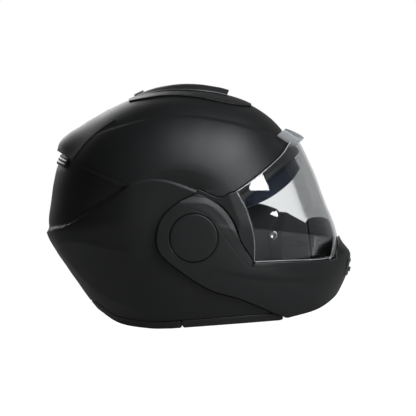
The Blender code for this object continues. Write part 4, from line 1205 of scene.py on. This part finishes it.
def side_covers():
    """Round caps over the hinges: a faintly crowned face and a rounded edge."""
    start = CHIN_HALF_WIDTH - CHIN_WALL + 1.6 + TOUCH
    r = COVER_RADIUS
    face = [(0, 1.55), (8, 1.53), (16, 1.45), (r - 4.0, 1.3), (r - 1.2, 1.12), (r - 0.6, 1.0),
            (r - 0.2, 0.75), (r, 0.4), (r, -1.0), (r - 0.3, -1.2), (0, -1.2)]
    for side, sign in SIDES:
        made = turned(face, COVER, sign * start, sign, 96)
        put(f"side_cover_{side}", made, "chin_bar", [f"side_cover_{side}"], CHIN_PAINT)


def liner_skin(inset=0.0, **more):
    return Skin(VISOR_KEYS, VISOR_HALF_WIDTH, VISOR_WALL + 2.0 + inset, **more)


def chin_bar_liner():
    """Padding inside the chin bar."""
    points = outline(smooth(LINER_TOP), [(125, 64), (140, 59), (172, 58), (172, 40), (150, 34), (112, 36),
                                         (93, 40), (90, 60), (92, 100)])
    field = inside(points)
    outer, back = liner_skin(), Skin(SWEEP_KEYS, SHELL_HALF_WIDTH + 2.2, -0.5)
    made = wall(outer, field, back, np.linspace(-45, 20, 110), rows(240), 2.0)
    piece = put("chin_bar_liner", made, "chin_bar", ["chin_bar_liner"], LINING)


def breath_deflector():
    """A soft ribbed flap inside the chin bar that keeps breath off the visor."""
    field = inside(outline(smooth(DEFLECTOR_TOP), [(156.5, 82), (154, 66), (142, 60.5), (126.5, 65)]))

    def relief(p):
        slope = p[:, 0] * 0.75 + p[:, 2] * 0.66 + np.abs(p[:, 1]) * 0.3
        return 0.8 * (0.5 + 0.5 * np.cos(slope * 2 * math.pi / 3.1)) * ramp(field(p), 1.0, 3.0) - 0.4

    made = wall(liner_skin(0.5), field, 2.6, np.linspace(-25, 12, 110), rows(230), 0.7, relief)
    put("breath_deflector", made, "chin_bar", ["breath_deflector"], RUBBER)


def chin_vent():
    """The front vent's frame and the ridged shutter that slides in it."""
    skin = Skin(CHIN_KEYS, CHIN_HALF_WIDTH + 3, -1.3)
    hole = lambda p: np.maximum(np.abs(p[:, 1]) - 20, np.maximum(47.0 - p[:, 2], p[:, 2] - 58.5))
    field = least(within(2, 43.5, 62.5), width_within(31), hole, within(0, 120, 300))
    made = wall(skin, field, Skin(CHIN_KEYS, CHIN_HALF_WIDTH, -TOUCH), np.linspace(-32, -14, 70),
                rows(120, -0.3, 0.3), 0.8)
    put("chin_vent_frame", made, "chin_bar", ["chin_vent_frame"], BLACK_PLASTIC)
    shutter = least(within(2, 48, 53), width_within(17), within(0, 120, 300))

    def grip(p):
        return 0.5 * np.cos(p[:, 1] * 2 * math.pi / 2.6) * ramp(8 - np.abs(p[:, 1]), 0, 1)

    made = wall(Skin(CHIN_KEYS, CHIN_HALF_WIDTH, -2.0), shutter, Skin(CHIN_KEYS, CHIN_HALF_WIDTH, -0.9),
                np.linspace(-28, -18, 60), rows(110, -0.2, 0.2), 0.3, grip)
    put("chin_vent_shutter", made, "chin_vent_shutter", ["chin_vent_shutter"], GREY_PLASTIC)


def antifog_pins():
    """A stepped clear pin on each side of the visor."""
    y = high("antifog_pin_left")[1]
    profile = [(0, 0.0), (2.0, 0.1), (2.3, 0.7), (4.2, 0.9), (4.7, 0.4), (4.7, -1.6), (4.2, -2.1),
               (2.6, -2.2), (2.2, -3.0), (0, -3.0)]
    for side, sign in SIDES:
        made = turned([(r, h - 0.9) for r, h in profile][::-1], ANTIFOG, sign * y, sign, 40)
        put(f"antifog_pin_{side}", made, "visor", [f"antifog_pin_{side}"], CLEAR_PIN)


def release_button():
    """The ridged button under the chin that frees the latch."""
    a, b = low("chin_release_button"), high("chin_release_button")
    parts = [rounded_box(a, b, 1.4)]
    for y in np.linspace(a[1] + 3, b[1] - 3, 7):
        parts.append(rounded_box((a[0] + 1, y - 0.5, a[2] - 0.4), (b[0] - 1, y + 0.5, a[2] + 0.8), 0.35))
    made = merge(*parts)
    put("chin_release_button", made, "chin_release", ["chin_release_button"], RELEASE_RED)


def sun_slider():
    """The sun visor's ridged thumb slider on the left lower side."""
    a, b = low("sun_visor_slider"), high("sun_visor_slider")
    x, z = (a[0] + b[0]) / 2, (a[2] + b[2]) / 2
    skin = Skin(SHELL_KEYS, SHELL_HALF_WIDTH, -5.6)
    field = least(within(0, x - 5, x + 5), within(2, z - 4, z + 4), lambda p: p[:, 1])
    made = wall(skin, field, Skin(SHELL_KEYS, SHELL_HALF_WIDTH, -3.2), np.linspace(-125, -95, 120),
                rows(130, 0.3, 0.9), 0.8, lambda p: 0.45 * np.cos(p[:, 0] * 2 * math.pi / 2.0))
    put("sun_visor_slider", made, "sun_visor_slider", ["sun_visor_slider"], GREY_PLASTIC)


# ---------------------------------------------------------------- padding

def crown_pad():
    """The crown lining: a soft sheet of long padded channels over the head."""
    cavity = Skin(CAVITY_KEYS, CAVITY_HALF_WIDTH, 0.6, HEAD)
    face = Skin(CAVITY_KEYS, CAVITY_HALF_WIDTH, 8.6, HEAD)
    field = least(lambda p: p[:, 2] - 113.0, without(inside(front_opening(10.0))))

    def puff(p):
        return -2.2 * (np.abs(np.sin(p[:, 1] * math.pi / 26.0)) ** 0.6 - 0.6) * ramp(field(p), 1, 9)

    made = wall(cavity, field, face, np.linspace(-60, 300, 241), rows(130), 2.0, None, puff)
    piece = put("crown_pad", made, "shell", ["crown_pad"], LINING)


def neck_roll():
    """The padded roll round the back of the neck."""
    cavity = Skin(CAVITY_KEYS, CAVITY_HALF_WIDTH, 0.8, HEAD)
    face = Skin(CAVITY_KEYS, CAVITY_HALF_WIDTH, 13.0, HEAD)
    field = least(within(2, 30.0, 98.0), lambda p: -64.0 - p[:, 0])

    def puff(p):
        return -2.0 * ramp(field(p), 0, 14) + 1.4 * np.exp(-((p[:, 2] - 62) / 2.5) ** 2)

    made = wall(cavity, field, face, np.linspace(170, 262, 110), rows(130), 3.0, None, puff)
    piece = put("neck_roll", made, "shell", ["neck_roll"], SOFT_LINING)


def cheek_pads():
    """Thick cheek cushions with a crowned face and a stitched seam round it."""
    top = smooth([(-50, 98), (-10, 106), (34, 110), (61.6, 130.8), (75.2, 131.5), (95.1, 123.8)])
    under = smooth([(95.1, 123.8), (99, 100), (88, 62), (58, 36), (20, 24), (-46, 24)])
    shape = inside(outline(top, under))
    cavity = Skin(CAVITY_KEYS, CAVITY_HALF_WIDTH, 5.4, HEAD)
    face = Skin(CAVITY_KEYS, CAVITY_HALF_WIDTH, 22.0, HEAD)
    for side, sign in SIDES:
        field = least(shape, lambda p: (p[:, 1] * sign - 44.5))

        def puff(p):
            seam = 1.6 * np.exp(-((field(p) - 13.0) / 1.3) ** 2)
            return -3.0 * ramp(field(p), 1, 22) + seam

        made = wall(cavity, field, face, np.linspace(-130, 230, 241),
                    rows(110, *sorted((0.15 * sign, sign))), 4.0, None, puff)
        piece = put(f"cheek_pad_{side}", made, "shell", [f"cheek_pad_{side}"], SOFT_LINING)


# ---------------------------------------------------------------- chin strap

STRAP_X, STRAP_WIDTH, STRAP_THICK, STRAP_ROOM = 8.0, 22.0, 2.0, 5.0
BUCKLE_Y, BUCKLE_Z, BUCKLE_LENGTH, TONGUE_LENGTH = 4.0, 9.0, 30.0, 26.0


def strap_path(end, sign):
    """The webbing's middle line: down between the pad and the liner, then under the chin."""
    outer = Skin(CAVITY_KEYS, CAVITY_HALF_WIDTH, 0.0, HEAD)
    inner = Skin(CAVITY_KEYS, CAVITY_HALF_WIDTH, STRAP_ROOM, HEAD)
    hidden = [((outer.y_at(STRAP_X, z) + inner.y_at(STRAP_X, z)) / 2, z) for z in (58, 47, 36, 27)]
    points = smooth(hidden + [(61, 15), (46, BUCKLE_Z + 0.5), (end, BUCKLE_Z)], 8)
    return np.column_stack([np.full(len(points), STRAP_X), points[:, 0] * sign, points[:, 1]])


def chin_straps():
    """The two lengths of webbing, left to the buckle's housing and right to its tongue."""
    ends = (BUCKLE_Y + BUCKLE_LENGTH + TOUCH, TONGUE_LENGTH + TOUCH)
    for (side, sign), end in zip(SIDES, ends):
        points, faces, along, across = strip(strap_path(end, sign), (1, 0, 0), STRAP_WIDTH, STRAP_THICK)
        put(f"chin_strap_{side}", (points, faces), "shell", [f"chin_strap_{side}"], WEBBING,
            along=along, across=across)


def buckle():
    """A ratchet buckle: a channel housing, a toothed tongue and a lever that lets the tongue go."""
    a, b = low("buckle_housing"), high("buckle_housing")
    parts = [rounded_box(a, (b[0], b[1], a[2] + 2.0), 0.8),
             rounded_box(a, (a[0] + 2.2, b[1], b[2]), 0.8),
             rounded_box((b[0] - 2.2, a[1], a[2]), b, 0.8),
             rounded_box((a[0], b[1] - 3.0, a[2]), b, 0.8)]
    made = merge(*parts)
    put("buckle_housing", made, "shell", ["buckle_housing"], STEEL)
    a, b = low("buckle_tongue"), high("buckle_tongue")
    teeth = [rounded_box(a, b, 0.5)]
    teeth += [rounded_box((a[0] + 1, y, b[2] - 0.6), (b[0] - 1, y + 0.9, b[2] + 0.5), 0.3)
              for y in np.arange(a[1] + 12, b[1] - 1.2, 1.8)]
    made = merge(*teeth)
    put("buckle_tongue", made, "shell", ["buckle_tongue"], BLACK_PLASTIC)
    a, b = low("buckle_lever"), high("buckle_lever")
    parts = [rounded_box(a, (b[0], b[1], b[2] - 0.6), 0.7)]
    parts += [rounded_box((a[0] + 3, y, b[2] - 1.2), (b[0] - 3, y + 1.2, b[2]), 0.4)
              for y in np.arange(a[1] + 3, a[1] + 13, 2.4)]
    made = merge(*parts)
    put("buckle_lever", made, "buckle_lever", ["buckle_lever"], RELEASE_RED)


TRIM = paint("trim_finish", (0.0170, 0.0170, 0.0175), 0.48, 0.2)
# Painted sheen: the vent's tone is about twice the shell's, standing in for the light that its top strip
# reflects.
VENT_PAINT_WITH_PAINTED_SHEEN = paint("vent_paint_painted_sheen", (0.0210, 0.0210, 0.0215), 0.42, 0.35)
RELEASE_RED = plastic("release_plastic", (0.020, 0.020, 0.021), 0.4)

for make in (outer_shell, chin_bar, visor, visor_arms, base_trims, rear_spoiler, rear_exhaust, top_vent,
             top_vent_slider, eyeport_seal, sun_visor, side_covers, chin_bar_liner, breath_deflector,
             chin_vent, antifog_pins, release_button, sun_slider, crown_pad, neck_roll, cheek_pads,
             chin_straps, buckle):
    make()


# ---------------------------------------------------------------- carried-over CAD nodes

CARRIED = [("eps_liner", FOAM), ("hinge_", STEEL), ("plate_screw", STEEL), ("latch_", STEEL),
           ("sun_visor_pin", STEEL)]
for name, node in frame["nodes"].items():
    if node.hide_render:
        continue
    finish = next((look for start, look in CARRIED if name.startswith(start)), BLACK_PLASTIC)
    if not node.data.materials:
        node.data.materials.append(finish)
    for spot in node.material_slots:
        spot.material = finish


# ---------------------------------------------------------------- camera, light and floor

TILT = math.radians(4.24)
CAMERA_DISTANCE = 6.0
FRAME_WIDTH = 0.470
VIEW_CENTRE = (0.0140, 0.1310)


def camera():
    """A long lens looking along +Y, rolled so that the helmet leans a little forward."""
    data = bpy.data.cameras.new("camera")
    data.sensor_width = 36.0
    data.lens = data.sensor_width * CAMERA_DISTANCE / FRAME_WIDTH
    data.clip_start, data.clip_end = 0.1, 50.0
    made = bpy.data.objects.new("camera", data)
    made.location = (VIEW_CENTRE[0], -CAMERA_DISTANCE, VIEW_CENTRE[1])
    made.rotation_euler = (math.pi / 2, TILT, 0)
    bpy.context.scene.collection.objects.link(made)
    bpy.context.scene.camera = made
    return made


def softbox(name, place, aim, size, power, tone=(1.0, 1.0, 1.0)):
    """A rectangular light at a place in metres, turned to a point."""
    data = bpy.data.lights.new(name, "AREA")
    data.shape = "RECTANGLE"
    data.size, data.size_y = size
    data.energy, data.color = power, tone
    made = bpy.data.objects.new(name, data)
    made.location = place
    run = np.array(aim, float) - place
    made.rotation_euler = Vector(run).to_track_quat("-Z", "Y").to_euler()
    bpy.context.scene.collection.objects.link(made)
    return made


def studio():
    """White behind and below, a dim room on the camera's side, and soft boxes above and in front."""
    world = bpy.data.worlds.new("studio")
    world.use_nodes = True
    tree = world.node_tree
    background = tree.nodes["Background"]
    background.inputs["Color"].default_value = (1, 1, 1, 1)
    place = tree.nodes.new("ShaderNodeTexCoord")
    split = tree.nodes.new("ShaderNodeSeparateXYZ")
    shade = tree.nodes.new("ShaderNodeValToRGB")
    path = tree.nodes.new("ShaderNodeLightPath")
    brighter = tree.nodes.new("ShaderNodeMath")
    brighter.operation = "MAXIMUM"
    stops = [(0.0, 0.006), (0.5, 0.012), (0.8, 0.10), (1.0, 0.30)]
    while len(shade.color_ramp.elements) < len(stops):
        shade.color_ramp.elements.new(0.5)
    for stop, (at, grey) in zip(shade.color_ramp.elements, stops):
        stop.position, stop.color = at, (grey, grey, grey, 1)
    half = tree.nodes.new("ShaderNodeMath")
    half.operation = "MULTIPLY_ADD"
    half.inputs[1].default_value = half.inputs[2].default_value = 0.5
    tree.links.new(place.outputs["Generated"], split.inputs[0])
    tree.links.new(split.outputs["Y"], half.inputs[0])
    tree.links.new(half.outputs[0], shade.inputs[0])
    tree.links.new(shade.outputs[0], brighter.inputs[0])
    tree.links.new(path.outputs["Is Camera Ray"], brighter.inputs[1])
    tree.links.new(brighter.outputs[0], background.inputs["Strength"])
    bpy.context.scene.world = world
    softbox("key", (0.74, -0.92, 1.24), (0.03, -0.08, 0.16), (1.05, 0.95), 20.0, (0.93, 0.97, 1.0))
    softbox("visor_strip", (1.27, -1.05, 0.64), (0.06, -0.10, 0.18), (0.62, 0.15), 5.0)
    softbox("side_fill", (0.7, -2.2, 0.25), (0.0, 0.0, 0.1), (0.9, 0.7), 2.0)
    softbox("back_fill", (-0.7, 1.9, 1.1), (0.0, 0.0, 0.12), (1.2, 1.0), 14.0)
    bpy.context.scene.view_settings.view_transform = "Standard"


def floor():
    """A plain pale floor that glows a little, so that it reads as an evenly lit sweep."""
    f = Finish("pale_floor", (0.3, 0.3, 0.3), 0.9, Emission_Color=(1.0, 1.0, 1.0))
    seen = f.node("LightPath", out="Is Camera Ray")
    f.feed(f.shader.inputs["Emission Strength"], seen * 0.92 + 0.08)
    mesh = bpy.data.meshes.new("floor")
    half = 3.0
    mesh.from_pydata([(-half, -half, -0.0006), (half, -half, -0.0006), (half, half, -0.0006),
                      (-half, half, -0.0006)], [], [(0, 1, 2, 3)])
    mesh.materials.append(f.material)
    made = bpy.data.objects.new("floor", mesh)
    bpy.context.scene.collection.objects.link(made)


camera()
studio()
floor()
